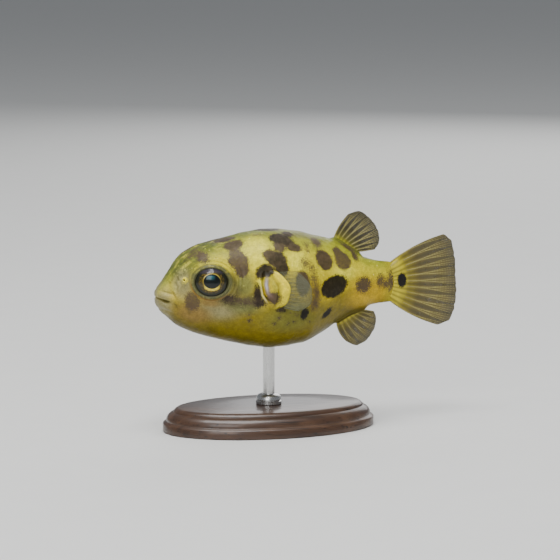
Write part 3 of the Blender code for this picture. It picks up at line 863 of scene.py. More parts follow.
# %% Blotches
# "at" is the place along the body and "round" the place round it: 0 on the back, 50 at the widest
# level, 100 under the belly. Half sizes run along the body and round it. Tilt is in degrees and
# rises towards the tail. "black" goes from brown to black, and "dots" from solid to dotted.
Blotch = namedtuple("Blotch", "at round along around tilt black dots")
BLOTCHES = [Blotch(*row) for row in (
    (68.5, 45, 7.7, 4.2, 14, 0.90, 0.12),  # the largest, below the dorsal fin
    (64.6, 25, 4.1, 4.6, 24, 0.38, 0.15),
    (71.8, 18, 2.4, 2.6, 10, 0.25, 0.15),
    (73.7, 25.1, 4.3, 3.8, 5, 0.16, 0.15),
    (80.2, 12, 1.9, 2.7, 20, 0.35, 0.30),
    (77.6, 4.8, 4.8, 1.6, -6, 0.30, 0.42),  # shade along the dorsal fin's foot
    (63.0, 12, 2.7, 3.4, 0, 0.25, 0.45),
    (27.0, 4, 4.8, 2.8, 0, 0.40, 0.20),  # crown of the head
    (29.2, 13.5, 4.2, 3.0, 16, 0.32, 0.12),  # nape, a saddle that runs down behind the eye
    (29.0, 20, 2.4, 2.2, 0, 0.15, 0.15),
    (29.4, 25, 4.3, 3.6, 0, 0.26, 0.20),
    (30.4, 31, 3.0, 3.4, 0, 0.36, 0.20),
    (14.6, 6, 3.8, 1.5, 12, 0.00, 0.40),  # streaks on the snout
    (13.2, 12, 3.6, 1.6, 14, 0.00, 0.50),
    (16.3, 17.6, 2.5, 4.4, 20, 0.22, 0.34),
    (45.8, 1, 4.0, 3.4, 0, 0.62, 0.15),  # crown of the back
    (47.4, 12.6, 4.2, 3.4, 0, 0.66, 0.18),
    (49.6, 14.5, 3.6, 2.8, 0, 0.64, 0.20),
    (51.8, 8, 2.5, 2.2, -8, 0.55, 0.15),
    (52.2, 18.6, 3.8, 2.4, -8, 0.42, 0.20),
    (46.6, 18, 2.5, 2.6, 0, 0.32, 0.22),
    (41.8, 23, 3.0, 2.5, 0, 0.40, 0.25),
    (44.6, 26, 4.2, 3.7, 0, 0.62, 0.20),
    (46.3, 31, 2.9, 3.6, 0, 0.65, 0.15),
    (39.4, 31.8, 3.6, 2.7, 10, 0.80, 0.15),  # over the gill opening
    (37.0, 34, 1.6, 1.9, 0, 0.70, 0.20),
    (36.0, 44.6, 2.0, 4.2, 0, 0.75, 0.28),
    (36.2, 49, 3.0, 2.1, 0, 0.66, 0.35),
    (31.0, 49, 6.0, 2.0, -4, 0.28, 0.88),  # band under and behind the eye
    (25.0, 48.6, 3.7, 2.2, -8, 0.58, 0.45),
    (11.8, 50.6, 3.4, 4.1, 0, 0.08, 0.38),
    (33.1, 62, 1.0, 0.8, 0, 0.50, 0.15),
    (32.2, 58, 0.8, 0.6, 0, 0.00, 0.50),
    (44.8, 52, 2.0, 1.3, 0, 0.70, 0.20),
    (54.9, 57, 1.8, 2.6, -16, 1.00, 0.10),
    (65.4, 63, 3.1, 1.6, 30, 0.95, 0.10),
    (44.4, 58, 1.0, 0.9, 0, 0.30, 0.45),
    (42.7, 62, 0.7, 0.6, 0, 0.40, 0.30),
    (48.0, 62, 0.6, 0.5, 0, 0.40, 0.30),
    (50.4, 61, 0.6, 0.5, 0, 0.40, 0.30),
    (57.4, 63, 0.6, 0.6, 0, 0.50, 0.20),
    (49.0, 55, 0.6, 0.5, 0, 0.30, 0.30),
    (51.4, 57, 0.6, 0.5, 0, 0.30, 0.30),
    (58.0, 16, 1.4, 1.6, 0, 0.00, 0.55),
    (58.2, 20, 1.2, 1.2, 0, 0.00, 0.55),
    (56.1, 28, 2.5, 2.7, 0, 0.05, 0.85),
    (58.7, 31, 2.2, 2.0, 0, 0.05, 0.85),
    (54.4, 38.8, 3.3, 5.4, 0, 0.35, 0.18),  # behind the pectoral fin
    (59.6, 36, 1.8, 3.2, 0, 0.10, 0.85),
    (59.8, 44, 2.1, 4.6, 0, 0.15, 0.72),
    (59.2, 50.5, 2.4, 3.2, 0, 0.15, 0.70),
    (83.0, 50, 4.4, 3.5, 0, 0.28, 0.45),  # tail stalk
    (91.4, 45.5, 2.1, 3.0, 0, 0.15, 0.45),
    (93.4, 52.5, 2.0, 2.0, 0, 0.15, 0.50),
    (95.8, 48, 1.8, 4.9, 0, 0.25, 0.40),
    (38.8, 8, 1.8, 1.0, 0, -0.20, 0.60),
    (41.6, 46, 2.2, 2.7, 20, 0.40, 0.25),  # on the fin's fleshy lobe
)]
# Soft washes of another colour, by the same measures. Cream is partly pale skin and partly painted highlight,
# and shade is painted shade under and behind the eye.
Wash = namedtuple("Wash", "mask at round along around")
WASHES = [Wash(*row) for row in (
    ("cream_and_highlight", 38.0, 20, 6.5, 7.5),
    ("cream_and_highlight", 53.0, 26, 4.5, 6.0),
    ("cream_and_highlight", 37.2, 38.8, 1.8, 1.9),
    ("cream_and_highlight", 8.9, 28.5, 2.3, 2.1),
    ("cream_and_highlight", 6.2, 35, 1.5, 1.3),
    ("cheek", 21.5, 57, 9.0, 5.0),
    ("cheek", 8.5, 34, 5.5, 7.0),
    ("cheek", 1.5, 62, 5.0, 7.5),
    ("pink", 18.0, 52, 5.0, 2.2),
    ("pink", 12.5, 63, 8.0, 4.5),
    ("cream_and_highlight", 73.5, 35, 6.5, 3.5),
    ("amber", 59.6, 46, 3.4, 7.0),
    ("gold", 86.0, 66, 12.0, 6.0),
    ("dusk", 31.0, 40, 4.8, 6.0),
    ("dusk", 31.5, 51, 7.5, 4.0),
    ("shade", 26.2, 40, 2.6, 6.0),
    ("shade", 26.0, 49, 5.5, 3.0),
    ("shade", 27.0, 44, 4.2, 3.2),
    ("shade", 34.0, 48, 5.5, 3.0),
    ("olive", 49.5, 58, 13.0, 7.0),
    ("moss", 10.0, 14, 9.0, 9.0),
    ("moss", 20.0, 6, 9.0, 6.5),
    ("olive", 57.0, 4, 12.0, 6.0),
)]
EDGE_REACH = 2.5
print("blotches:", len(BLOTCHES), "washes:", len(WASHES))

# %% Lay the pattern on the skin
SHIFT_AT, SHIFT_ROUND, RESIZE = 1.7, 2.0, 0.15
AT_STEP, ROUND_STEP, SIZE_STEP = 2.4, 1.7, 3.1  # radians from one mark of the list to the next
MERGE = 2.4  # the smaller, the more neighbouring blotches run together
TURN_LIMIT, TURN_DROP = 0.3, 4  # a blotch fades where the skin turns away from its middle
plain_normals = normals_of(plain_rings)


def spot_frame(at, round_body, hand):
    """The skin's point at that place, with directions along the body and round it."""
    row = np.argmin(np.abs(plain_rings[:, 0, 0] - at))
    wrong_side = plain_rings[row, :, 1] * hand < -0.01
    column = np.argmin(np.abs(girth - round_body / 100) + wrong_side)
    point, normal = plain_rings[row, column], plain_normals[row, column]
    along = unit(np.array((1, 0, 0)) - normal * normal[0])
    return point, along, np.cross(along, normal) * hand, normal


def oval_distance(mark, tilt, hand):
    """1 at the middle of an oval on the skin, 0 on its edge and negative outside."""
    point, along, around, facing = spot_frame(mark.at, mark.round, hand)
    away = plain_rings - point
    run, rise = away @ along, away @ around
    lean = math.radians(tilt)
    level = run * math.cos(lean) + rise * math.sin(lean)
    cross = rise * math.cos(lean) - run * math.sin(lean)
    turned_away = np.clip(TURN_LIMIT - plain_normals @ facing, 0, None)
    return 1 - np.hypot(level / mark.along, cross / mark.around) - TURN_DROP * turned_away


def other_side(mark, number):
    """The same kind of mark for the right side, a little elsewhere and of another size."""
    size = 1 + RESIZE * math.sin(SIZE_STEP * number)
    return mark._replace(
        at=mark.at + SHIFT_AT * math.sin(AT_STEP * number) * min(1, (100 - mark.at) / 20),
        round=mark.round + SHIFT_ROUND * math.cos(ROUND_STEP * number) * min(1, mark.round / 10),
        along=mark.along * size,
        around=mark.around * (2 - size),
    )


def paint_fields():
    """Distance to the nearest blotch's edge, how black and how dotted it is, and the washes."""
    shape = plain_rings.shape[:2]
    total = np.full(shape, math.exp(-MERGE * EDGE_REACH))
    black, dots = np.zeros(shape), np.zeros(shape)
    for number, mark in enumerate(BLOTCHES):
        for hand, spot in ((LEFT, mark), (RIGHT, other_side(mark, number))):
            inside = oval_distance(spot, spot.tilt, hand) * min(spot.along, spot.around)
            pull = np.exp(np.clip(MERGE * inside, -30, 12))
            total += pull
            black += pull * spot.black
            dots += pull * spot.dots
    edge = np.log(total) / MERGE
    fields = {"ink": np.clip(edge, -EDGE_REACH, EDGE_REACH), "black": black / total, "dots": dots / total}
    for number, wash in enumerate(WASHES):
        for hand, spot in ((LEFT, wash), (RIGHT, other_side(wash, number))):
            share = smooth_step(-0.35, 0.65, oval_distance(spot, 0, hand))
            fields[wash.mask] = np.maximum(fields.get(wash.mask, np.zeros(shape)), share)
    return fields


skin_masks.update(paint_fields())
print(f"inked share of the skin: {np.mean(skin_masks['ink'] > 0):.2f}")

# %% [markdown]
# ## The finish of the skin
# The colours run round the body: yellow-green on the back, bright yellow on the flank, olive under
# the belly, where the dark olive is partly painted shade. Over that go the washes, of which cream is
# partly painted highlight and shade is painted shade, a mottling on the mossy crown, fine dark pepper
# and a few painted glint highlights. The fin lobe's roll gets painted light and the creases painted
# shade. Then comes the ink, which is not spread evenly in a real skin. It sits in separate cells, so
# the distance to an edge is shaken by the mosaic cells before it is compared with zero, and the more
# dotted a blotch is, the harder the shake. The rims of eye, gill and mouth go on last, with painted
# shade in the mouth, the nostril holes and the gill slit and on the gill flap.
# The gloss is that of damp skin, duller on the ink and brighter on the lids.

# %% Skin colours
# Back to belly: the dark olive under the belly is partly the skin's own colour and partly painted shade.
BACK_TO_BELLY_AND_SHADE = (
    (0.00, (0.13, 0.15, 0.015)),
    (0.14, (0.35, 0.35, 0.022)),
    (0.28, (0.62, 0.53, 0.022)),
    (0.46, (0.60, 0.45, 0.010)),
    (0.56, (0.26, 0.198, 0.007)),
    (0.70, (0.185, 0.140, 0.004)),
    (0.84, (0.11, 0.085, 0.003)),
    (1.00, (0.070, 0.055, 0.004)),
)
# The washes by the masks that they follow, in the order they are laid on. Cream is partly painted highlight,
# and shade is painted shade.
WASH_COLOURS = {
    "cream_and_highlight": (0.82, 0.74, 0.055), "olive": (0.155, 0.150, 0.020), "moss": (0.13, 0.155, 0.018),
    "gold": (0.62, 0.40, 0.005), "cheek": (0.29, 0.26, 0.12), "pink": (0.25, 0.155, 0.037),
    "amber": (0.28, 0.20, 0.012), "dusk": (0.15, 0.165, 0.053), "shade": (0.095, 0.088, 0.026),
    "stalk_end": (0.52, 0.43, 0.018),
}
WASH_STRENGTH, LEVEL_SHAKE = 0.85, 0.16
MOSS_GLOOM, MOSS_SUN = (0.060, 0.068, 0.022), (0.80, 0.70, 0.09)
# Of these colours, the glint is a painted highlight and the crease colour is painted shade; the pepper is the
# skin's own.
PEPPER, GLINT, CREASE_SHADE = (0.060, 0.052, 0.014), (0.98, 0.90, 0.22), (0.10, 0.08, 0.020)
INK_BROWN, INK_BLACK = (0.088, 0.058, 0.035), (0.007, 0.005, 0.004)
RIM_OLIVE, RIM_DARK, RIM_LINE = (0.120, 0.120, 0.046), (0.085, 0.085, 0.036), (0.24, 0.11, 0.012)
# The two mouth colours are painted shade in the gape, the nostril holes and the gill slit.
OPENING_SHADE, GAPE_SHADE, NOSTRIL_YELLOW = (0.030, 0.020, 0.008), (0.15, 0.125, 0.028), (0.90, 0.76, 0.06)
LOBE_OLIVE, LOBE_YELLOW = (0.46, 0.39, 0.028), (0.82, 0.66, 0.020)
# The flap's brown is painted shade, and its pearl is pale membrane that is partly painted highlight.
RIM_CREAM, FLAP_SHADE, FLAP_PEARL_HIGHLIGHT = (0.76, 0.66, 0.24), (0.13, 0.075, 0.045), (0.55, 0.50, 0.56)
CELL, GLINT_CELL = 0.29 * PERCENT, 1.1 * PERCENT
DRIFTS = ((2.0 * PERCENT, 0.42), (0.62 * PERCENT, 0.34))  # patch size and amount
print("round the body:", len(BACK_TO_BELLY_AND_SHADE), "colours, wash colours:", len(WASH_COLOURS))


# %% Skin finish
def base_colour(skin, fine, pick, dome):
    """Back to belly with painted shade below, washes, mottling, pepper, painted glint highlights, a lobe roll
    with painted light, crease shade and nostrils.
    """
    slow, patchy = skin.noise(9 * PERCENT, 4), skin.noise(3.4 * PERCENT, 4, 0.62)
    level = (slow - 0.5) * LEVEL_SHAKE + skin.read("girth")
    # Darker towards the belly, partly as painted shade.
    colour = skin.ramp(level, BACK_TO_BELLY_AND_SHADE)
    # Washes: cream is partly painted highlight, and shade is painted shade.
    for mask, wash in WASH_COLOURS.items():
        colour = mix(skin.read(mask) * WASH_STRENGTH, colour, wash)
    moss, dusk = skin.read("moss"), skin.read("dusk")
    colour = mix(patchy.rise(0.48, 0.62) * moss * 0.62, colour, MOSS_GLOOM)
    colour = mix(patchy.rise(0.49, 0.33) * moss * 0.50, colour, MOSS_SUN)
    pepper = (dusk * 0.24 + pick).rise(0.66, 0.80) * dome.rise(0.55, 0.78)
    colour = mix(pepper * (dusk * 0.45 + 0.45), colour, PEPPER)
    # A few painted glint highlights on the upper body.
    lucky, bright = skin.mosaic(GLINT_CELL)
    glint = lucky.rise(0.11, 0.07) * bright.rise(0.60, 0.92) * fine.rise(0.30, 0.60) * level.rise(0.50, 0.38)
    colour = mix(glint * 0.75, colour, GLINT)
    colour = mix(skin.read("lobe").rise(0.02, 0.35), colour, LOBE_OLIVE)
    # The roll's yellow, with painted light on its middle and painted shade above and below.
    colour = mix(skin.read("roll"), colour, LOBE_YELLOW)
    # Painted shade along the lobe's crease and along the skin's creases.
    for mask, amount in (("lobe_crease_shade", 0.42), ("crease", 0.52)):
        colour = mix(skin.read(mask) * amount, colour, CREASE_SHADE)
    tube = skin.read("nostril_tube") * (fine * 4.0 - 1.1)
    colour = mix(tube.rise(0.05, 0.80), colour, NOSTRIL_YELLOW)
    for patch, amount in DRIFTS:
        colour = skin.drift(colour, patch, amount)
    return colour


def ink_share(skin, fine, pick, dome):
    """Where the ink lies: the stored distance to an edge, made ragged and dotted by the cells."""
    dots = skin.read("dots")
    ragged = (fine - 0.5) * 1.5 + skin.read("ink")
    ragged = (pick - 0.5) * (dots * 1.9 + 0.30) + ragged
    ragged = (dome - 0.66) * (dots * 4.6 + 0.50) + ragged + 0.12
    return (ragged / (dots * 0.45 + 0.16)).rise(-1.0, 1.0)


def make_skin():
    skin = Recipe("spotted skin")
    fine = skin.noise(1.6 * PERCENT, 4, 0.6)
    pick, dome = skin.mosaic(CELL)
    colour = base_colour(skin, fine, pick, dome)
    ink, black = ink_share(skin, fine, pick, dome), skin.read("black")
    ink_colour = mix(((fine - 0.5) * 0.9 + black).rise(0.1, 1.0), INK_BROWN, INK_BLACK)
    strength = maths("MINIMUM", black * 0.45 + ((pick - 0.5) * 0.22 + 0.86), 0.98)
    colour = mix(ink * strength, colour, ink_colour)

    size, upper = skin.read("eye_size"), skin.read("eye_upper")
    rim = size.rise(1.36, 1.18) * fine.rise(0.1, 0.55)
    colour = mix(size.rise(1.12, 1.03), mix(rim, colour, RIM_OLIVE), RIM_DARK)
    line = size.rise(1.17, 1.23) * size.rise(1.36, 1.26) * upper.rise(0.45, 0.10) * 0.6
    colour = mix(line, colour, RIM_LINE)
    # Gill: painted shade on the flap and in the slit, the pale rim, and a pearl band that is partly painted
    # highlight.
    for mask, amount, paint in (
        ("gill_flap_shade", 0.85, FLAP_SHADE), ("gill_slit_shade", 0.65, OPENING_SHADE), ("gill_rim", 1.0, RIM_CREAM),
        ("flap_pearl_highlight", 1.0, FLAP_PEARL_HIGHLIGHT),
    ):
        colour = mix(skin.read(mask) * amount, colour, paint)
    # Painted shade in the mouth's gape and in the nostril holes.
    colour = mix(skin.read("mouth").rise(0.15, 0.95), colour, GAPE_SHADE)
    colour = mix(skin.read("nostril").rise(0.35, 0.85), colour, OPENING_SHADE)
    return skin.finish(
        {
            "Base Color": brighten(colour, pick * 0.22 + 0.89),
            "Roughness": rim * -0.15 + (ink * 0.10 + 0.40),
            "Specular IOR Level": 0.15,
            "Coat Weight": 0.07,
            "Coat Roughness": 0.16,
        },
        (skin.noise(1.7 * PERCENT, 3, 0.5), 0.8, 0.30 * PERCENT),  # loose folds
        (fine * 0.8 + dome, 0.5, 0.08 * PERCENT),  # grain and cells
    )


SKIN = make_skin()
print("skin finish:", len(SKIN.node_tree.nodes), "nodes")

# %% [markdown]
# ## The skin as one mesh
# Rings of points become a closed mesh with a quad between every two neighbours. The end rings
# shrink to a point each, inside the mouth and at the end of the backbone. The masks go on as
# attributes of the points, so the finish can read them wherever the mesh is used.


# %% Skin mesh
SKIN_CAP = (0.8, 0.55, 0.3)  # how large the shrinking rings at each end are


def store(mesh, name, values):
    """Writes one number for each point of a mesh."""
    made = mesh.attributes.new(name, "FLOAT", "POINT")
    made.data.foreach_set("value", np.asarray(values, np.float32).ravel())


def add_piece(name, points, faces, finish, fields=None):
    """A smooth mesh object of points in metres, at the origin."""
    mesh = bpy.data.meshes.new(name)
    mesh.from_pydata(np.asarray(points).tolist(), [], faces)
    for field, values in (fields or {}).items():
        store(mesh, field, values)
    mesh.materials.append(finish)
    mesh.shade_smooth()
    mesh.validate()
    return put(name, mesh)


def ring_faces(rows, columns, first=0):
    """Quads of a sheet of rings that close round, facing out."""
    row, column = np.meshgrid(np.arange(rows - 1), np.arange(columns), indexing="ij")
    near = first + row * columns + column
    near_next = first + row * columns + (column + 1) % columns
    quads = np.stack([near, near_next, near_next + columns, near + columns], axis=-1)
    return quads.reshape(-1, 4).tolist()


def close_rings(rings, fields, ends):
    """Adds shrinking rings and a last point at both ends. Returns points, faces and fields."""
    start, finish = ends
    caps = []
    for end, shares in ((0, start), (-1, finish)):
        ring, middle = rings[end], rings[end].mean(axis=0)
        caps.append([middle + (ring - middle) * share for share in shares] + [middle])
    points = np.concatenate([
        caps[0][-1][None], *caps[0][-2::-1], rings.reshape(-1, 3), *caps[1][:-1], caps[1][-1][None],
    ])
    columns = rings.shape[1]
    rows = len(start) + rings.shape[0] + len(finish)
    faces = ring_faces(rows, columns, first=1)
    last, final = len(points) - 1, 1 + (rows - 1) * columns
    for i in range(columns):
        j = (i + 1) % columns
        faces.append((0, 1 + j, 1 + i))
        faces.append((last, final + i, final + j))
    spread = {}
    for name, values in fields.items():
        head, tail = values[0], values[-1]
        before = [[head.mean()], *[head] * len(start)]
        after = [*[tail] * len(finish), [tail.mean()]]
        spread[name] = np.concatenate([*before, values.reshape(-1), *after])
    return points, faces, spread


def make_skin_mesh():
    points, faces, fields = close_rings(skin_rings, skin_masks, (SKIN_CAP, SKIN_CAP))
    return add_piece("skin", place(points), faces, SKIN, fields)


skin = make_skin_mesh()
skin.data.calc_loop_triangles()
print("skin triangles:", len(skin.data.loop_triangles))

# %% [markdown]
# ## The eyes
# Each eye is one oblate dome, fuller than a plain ball because its coloured parts stand at
# different heights: the pupil is a low lens, the gold ring a raised lip round it, and the iris
# slopes away under the lid. A clear coat lies over the paint, as the cornea does.

# %% Eye finish
PUPIL_REAR, PUPIL_RISE = 0.5, 0.25
PUPIL_HALF_LENGTH, PUPIL_HALF_HEIGHT = 3.2, 2.85
EYE_RINGS, EYE_POINTS, EYE_CROWDING, EYE_RELIEF = 72, 96, 1.25, 0.10
BACK_OF_EYE = 2.0  # the lid size that is stored where the ball is out of sight
# The pupil's second colour is a painted highlight in its upper part.
PUPIL_BLACK, PUPIL_HIGHLIGHT = (0.003, 0.006, 0.006), (0.02, 0.10, 0.12)
IRIS_DARK, IRIS_OLIVE, IRIS_FLECK = (0.030, 0.026, 0.007), (0.075, 0.060, 0.011), (0.17, 0.105, 0.010)
IRIS_EDGE, IRIS_SHEEN = (0.014, 0.015, 0.008), (0.055, 0.045, 0.060)
FLASH_RUST, FLASH_GOLD, FLASH_EDGE = (0.55, 0.33, 0.006), (1.00, 0.80, 0.07), (0.22, 0.13, 0.008)
RING_DULL, RING_ABOVE, RING_BELOW = (0.14, 0.095, 0.014), (0.55, 0.42, 0.070), (0.98, 0.77, 0.09)
# The ring's fore and rear colours are painted shade on its sides.
RING_SHADE_FORE, RING_SHADE_REAR = (0.26, 0.19, 0.030), (0.085, 0.070, 0.016)


def make_eye_finish():
    eye = Recipe("eye")
    fleck, grain = eye.noise(0.55 * PERCENT, 4, 0.65), eye.noise(1.6 * PERCENT, 3)
    size, rise, rear = eye.read("pupil_size"), eye.read("rise"), eye.read("rear")
    iris = mix(fleck.rise(0.46, 0.68), IRIS_DARK, IRIS_OLIVE)
    iris = mix(fleck.rise(0.50, 0.62) * size.rise(1.95, 1.30), iris, IRIS_FLECK)
    iris = mix((grain * 0.14 + eye.read("lid_size")).rise(0.80, 0.92), iris, IRIS_EDGE)
    # A painted sheen over the top of the iris.
    iris = mix(rise.rise(2.6, 4.2) * size.rise(1.12, 1.3) * 0.8, iris, IRIS_SHEEN)

    # The gold ring: a broken flash below the pupil, and a thin band round it with painted shade on its sides,
    # darkest at the rear.
    below = rise.rise(-1.0, -2.9)
    edge = (fleck - 0.5) * 0.22 + (below * 0.17 + 1.15)
    ring = (edge - size).rise(-0.05, 0.06)
    flash = mix(fleck.rise(0.34, 0.56), FLASH_RUST, FLASH_GOLD)
    gold = mix(below, RING_DULL, mix(size.rise(1.18, 1.38), flash, FLASH_EDGE))
    band = mix(rise.rise(2.0, -1.6), RING_ABOVE, RING_BELOW)
    side_shade = mix(rear.rise(-1.0, 2.0), RING_SHADE_FORE, RING_SHADE_REAR)
    band = mix(maths("ABSOLUTE", rise).rise(2.5, 0.7), band, side_shade)
    colour = mix(ring, iris, mix(size.rise(1.10, 1.05), gold, band))

    # A painted highlight in the upper pupil.
    pupil_highlight = rise.rise(0.4, 1.9) * rise.rise(2.9, 2.1) * maths("ABSOLUTE", rear).rise(2.2, 0.4)
    pupil = size.rise(1.02, 0.97)
    colour = mix(pupil, colour, mix(pupil_highlight, PUPIL_BLACK, PUPIL_HIGHLIGHT))
    return eye.finish(
        {
            "Base Color": colour,
            "Roughness": fleck * 0.2 + 0.22,
            "Metallic": ring * (1.0 - pupil) * 0.15,
            "Specular IOR Level": 0.1,
            "Coat Weight": 1.0,
            "Coat Roughness": 0.03,
            "Coat IOR": 1.36,
        },
        (fleck, 0.15, 0.05 * PERCENT),
    )


EYE = make_eye_finish()
print("eye finish:", len(EYE.node_tree.nodes), "nodes")


# %% Eyeballs
def make_eye(side, hand):
    """A dome whose pupil is a low lens, with a lip round it and a dip beyond the lip."""
    rearward, upright, sight, middle = eye_axes(hand)
    tilt = math.pi * np.linspace(0, 1, EYE_RINGS + 2)[1:-1] ** EYE_CROWDING
    turn = math.tau * np.arange(EYE_POINTS) / EYE_POINTS
    reach = EYE_RADIUS * np.sin(tilt)[:, None]
    rear, rise = reach * np.cos(turn), reach * np.sin(turn)
    out = np.broadcast_to(EYE_DEPTH * np.cos(tilt)[:, None], rear.shape).copy()
    size = np.hypot((rear - PUPIL_REAR) / PUPIL_HALF_LENGTH, (rise - PUPIL_RISE) / PUPIL_HALF_HEIGHT)
    lens = smooth_step(1.0, 0.8, size) + bell(size, 1.12, 0.10) - bell(size, 1.5, 0.25)
    out += EYE_RELIEF * lens * smooth_step(0.0, 1.2, out)
    rings = middle + rear[..., None] * rearward + rise[..., None] * upright + out[..., None] * sight
    if hand == RIGHT:
        rings, rear, rise, out, size = (grid[:, ::-1] for grid in (rings, rear, rise, out, size))
    lid = np.where(out < 0, BACK_OF_EYE, lid_coordinates(rear, rise)[0])
    fields = {"pupil_size": size, "rear": rear, "rise": rise, "lid_size": lid}
    points, faces, fields = close_rings(rings[::-1], {k: v[::-1] for k, v in fields.items()}, ((), ()))
    return add_piece("eyeball_" + side, place(points), faces, EYE, fields)


eyes = {side: make_eye(side, hand) for side, hand in SIDES.items()}
print("eyes:", ", ".join(eye.name for eye in eyes.values()))

# %% [markdown]
# ## The fins
# A soft fin is a thin skin stretched over rays. Each ray leaves the body at one angle and bends
# evenly to another, and both angles change from the first ray to the last. The frame's thick ribbed
# fans follow that rule, so the thin fins below follow it too and fill the same outline. The
# membrane is modelled directly: a few hundredths of a millimetre thick, fleshy at the root of the
# upright fins, and with a notched edge between rays.

# %% Fin rule
# Fore and rear are where the first and last ray stand. The angles are those of the first and last
# ray, in degrees, at the root and at the tip. Each length goes with a share of the rays.
Fin = namedtuple("Fin", "rays fore rear start_angles end_angles lengths")
DORSAL = Fin(
    9, 72.8, 82.2, (70, 2), (44, 8),
    ((0, 10.8), (0.2, 14.6), (0.4, 14.7), (0.6, 13.6), (0.8, 11.2), (1, 7.4)),
)
ANAL = Fin(
    8, 74.0, 84.5, (-84, -7), (-40, -13),
    ((0, 8.8), (0.15, 13.0), (0.3, 13.5), (0.5, 12.0), (0.75, 8.8), (1, 5.0)),
)
TAIL = Fin(
    11, 9.2, -8.6, (34, -36), (14, -17),
    ((0, 22.8), (0.1, 24.5), (0.25, 24.0), (0.5, 23.1), (0.75, 23.7), (0.9, 23.9), (1, 20.8)),
)
PECTORAL = Fin(
    11, 7.6, -3.6, (14, -14), (6, -9),
    ((0, 11.0), (0.2, 14.0), (0.45, 16.0), (0.7, 16.0), (0.9, 13.8), (1, 11.4)),
)
TAIL_ROOT, TAIL_ROOT_SWELL = 97.0, 3.0
PECTORAL_ROOT, PECTORAL_FLARE, PECTORAL_CUP = 40.0, math.radians(24), 2.2
PECTORAL_TUCK, PECTORAL_TUCK_ENDS = 2.6, 1.4  # how far the foot bends in under its lobe's roll
PECTORAL_STAND_OFF = GAP + 0.00055 / PERCENT
FIN_SWAY = 1.2


def ray_point(fin, share, reach, root):
    """Points of a fin in its own plane, at a share of the rays and of each ray's length."""
    angles = [np.radians(a + share * (b - a)) for a, b in (fin.start_angles, fin.end_angles)]
    run = reach * smooth_value(*zip(*fin.lengths), share)
    bend = reach * (angles[1] - angles[0])
    chord = run * np.sinc(bend / math.tau)
    angle = angles[0] + bend / 2
    return root[0] + chord * np.cos(angle), root[1] + chord * np.sin(angle)


def between(fin, share):
    return fin.fore + share * (fin.rear - fin.fore)


def upright_layout(root_of):
    """A fin in the middle plane with a gentle wave that grows towards its edge."""
    def lay_out(fin, share, reach):
        along, up = ray_point(fin, share, reach, root_of(fin, share))
        sway = FIN_SWAY * np.clip(reach, 0, None) ** 2 * np.sin(math.tau * share)
        return np.stack([along, sway, up], axis=-1)
    return lay_out


def back_root(fin, share):
    return between(fin, share), section("top", between(fin, share)) + GAP


def belly_root(fin, share):
    return between(fin, share), section("bottom", between(fin, share)) - GAP


def tail_root(fin, share):
    swell = TAIL_ROOT_SWELL * np.clip(np.sin(math.pi * share), 0, 1) ** 0.7
    return TAIL_ROOT + GAP + swell, between(fin, share)


def pectoral_layout(hand):
    """A fin that flares out from the flank and is cupped a little."""
    def lay_out(fin, share, reach):
        run, up = ray_point(fin, share, reach, (0.0, between(fin, share)))
        foot = flank_side(PECTORAL_ROOT, between(fin, share)) + PECTORAL_STAND_OFF
        off_middle = (2 * share - 1) ** 2
        out = run * math.sin(PECTORAL_FLARE) - PECTORAL_CUP * reach * off_middle
        out = out - (PECTORAL_TUCK + PECTORAL_TUCK_ENDS * off_middle) * smooth_step(1.0, 0.3, reach)
        return np.stack([PECTORAL_ROOT + run * math.cos(PECTORAL_FLARE), hand * (foot + out), up], axis=-1)
    return lay_out


# Each entry: the fin, its layout, and where along the rays the membrane starts.
FINS = {
    "dorsal_fin": (DORSAL, upright_layout(back_root), -0.16),
    "anal_fin": (ANAL, upright_layout(belly_root), -0.16),
    "tail_fin": (TAIL, upright_layout(tail_root), -0.15),
    "pectoral_fin_left": (PECTORAL, pectoral_layout(LEFT), 0.36),
    "pectoral_fin_right": (PECTORAL, pectoral_layout(RIGHT), 0.36),
}
print("fins:", ", ".join(FINS))

# %% Membranes
MEMBRANE_THICKNESS = 0.000035 / PERCENT
ROOT_THICKNESS = {"tail_fin": 2.1, "dorsal_fin": 1.5, "anal_fin": 1.5}
COLUMNS_PER_RAY, MEMBRANE_ROWS = 10, 44
NOTCH, EDGE_WEAR, FLESH_REACH, FLESH_SHARE = 0.010, 0.005, 0.17, 0.30
BETWEEN_RAYS = (0.030, 0.025, 0.010)
TAIL_SPOT = (0.47, 0.18, 0.097)  # share of the rays, half width in shares, half length in reach


def membrane_points(fin, lay_out, start):
    """The middle sheet of a fin, with each point's share, reach and distance from a ray."""
    columns = (fin.rays - 1) * COLUMNS_PER_RAY + 1
    share = np.linspace(0, 1, columns)[:, None]
    off_ray = np.abs((share * (fin.rays - 1) + 0.5) % 1 - 0.5) * 2
    nick = 1 - NOTCH * off_ray**1.5 + EDGE_WEAR * np.sin(61 * share) * np.sin(37 * share + 1)
    reach = start + (nick - start) * np.linspace(0, 1, MEMBRANE_ROWS)
    share, off_ray = np.broadcast_arrays(share, off_ray + 0 * reach)
    share = np.broadcast_to(share, reach.shape)
    return lay_out(fin, share, reach), {"share": share, "reach": reach, "off_ray": off_ray}


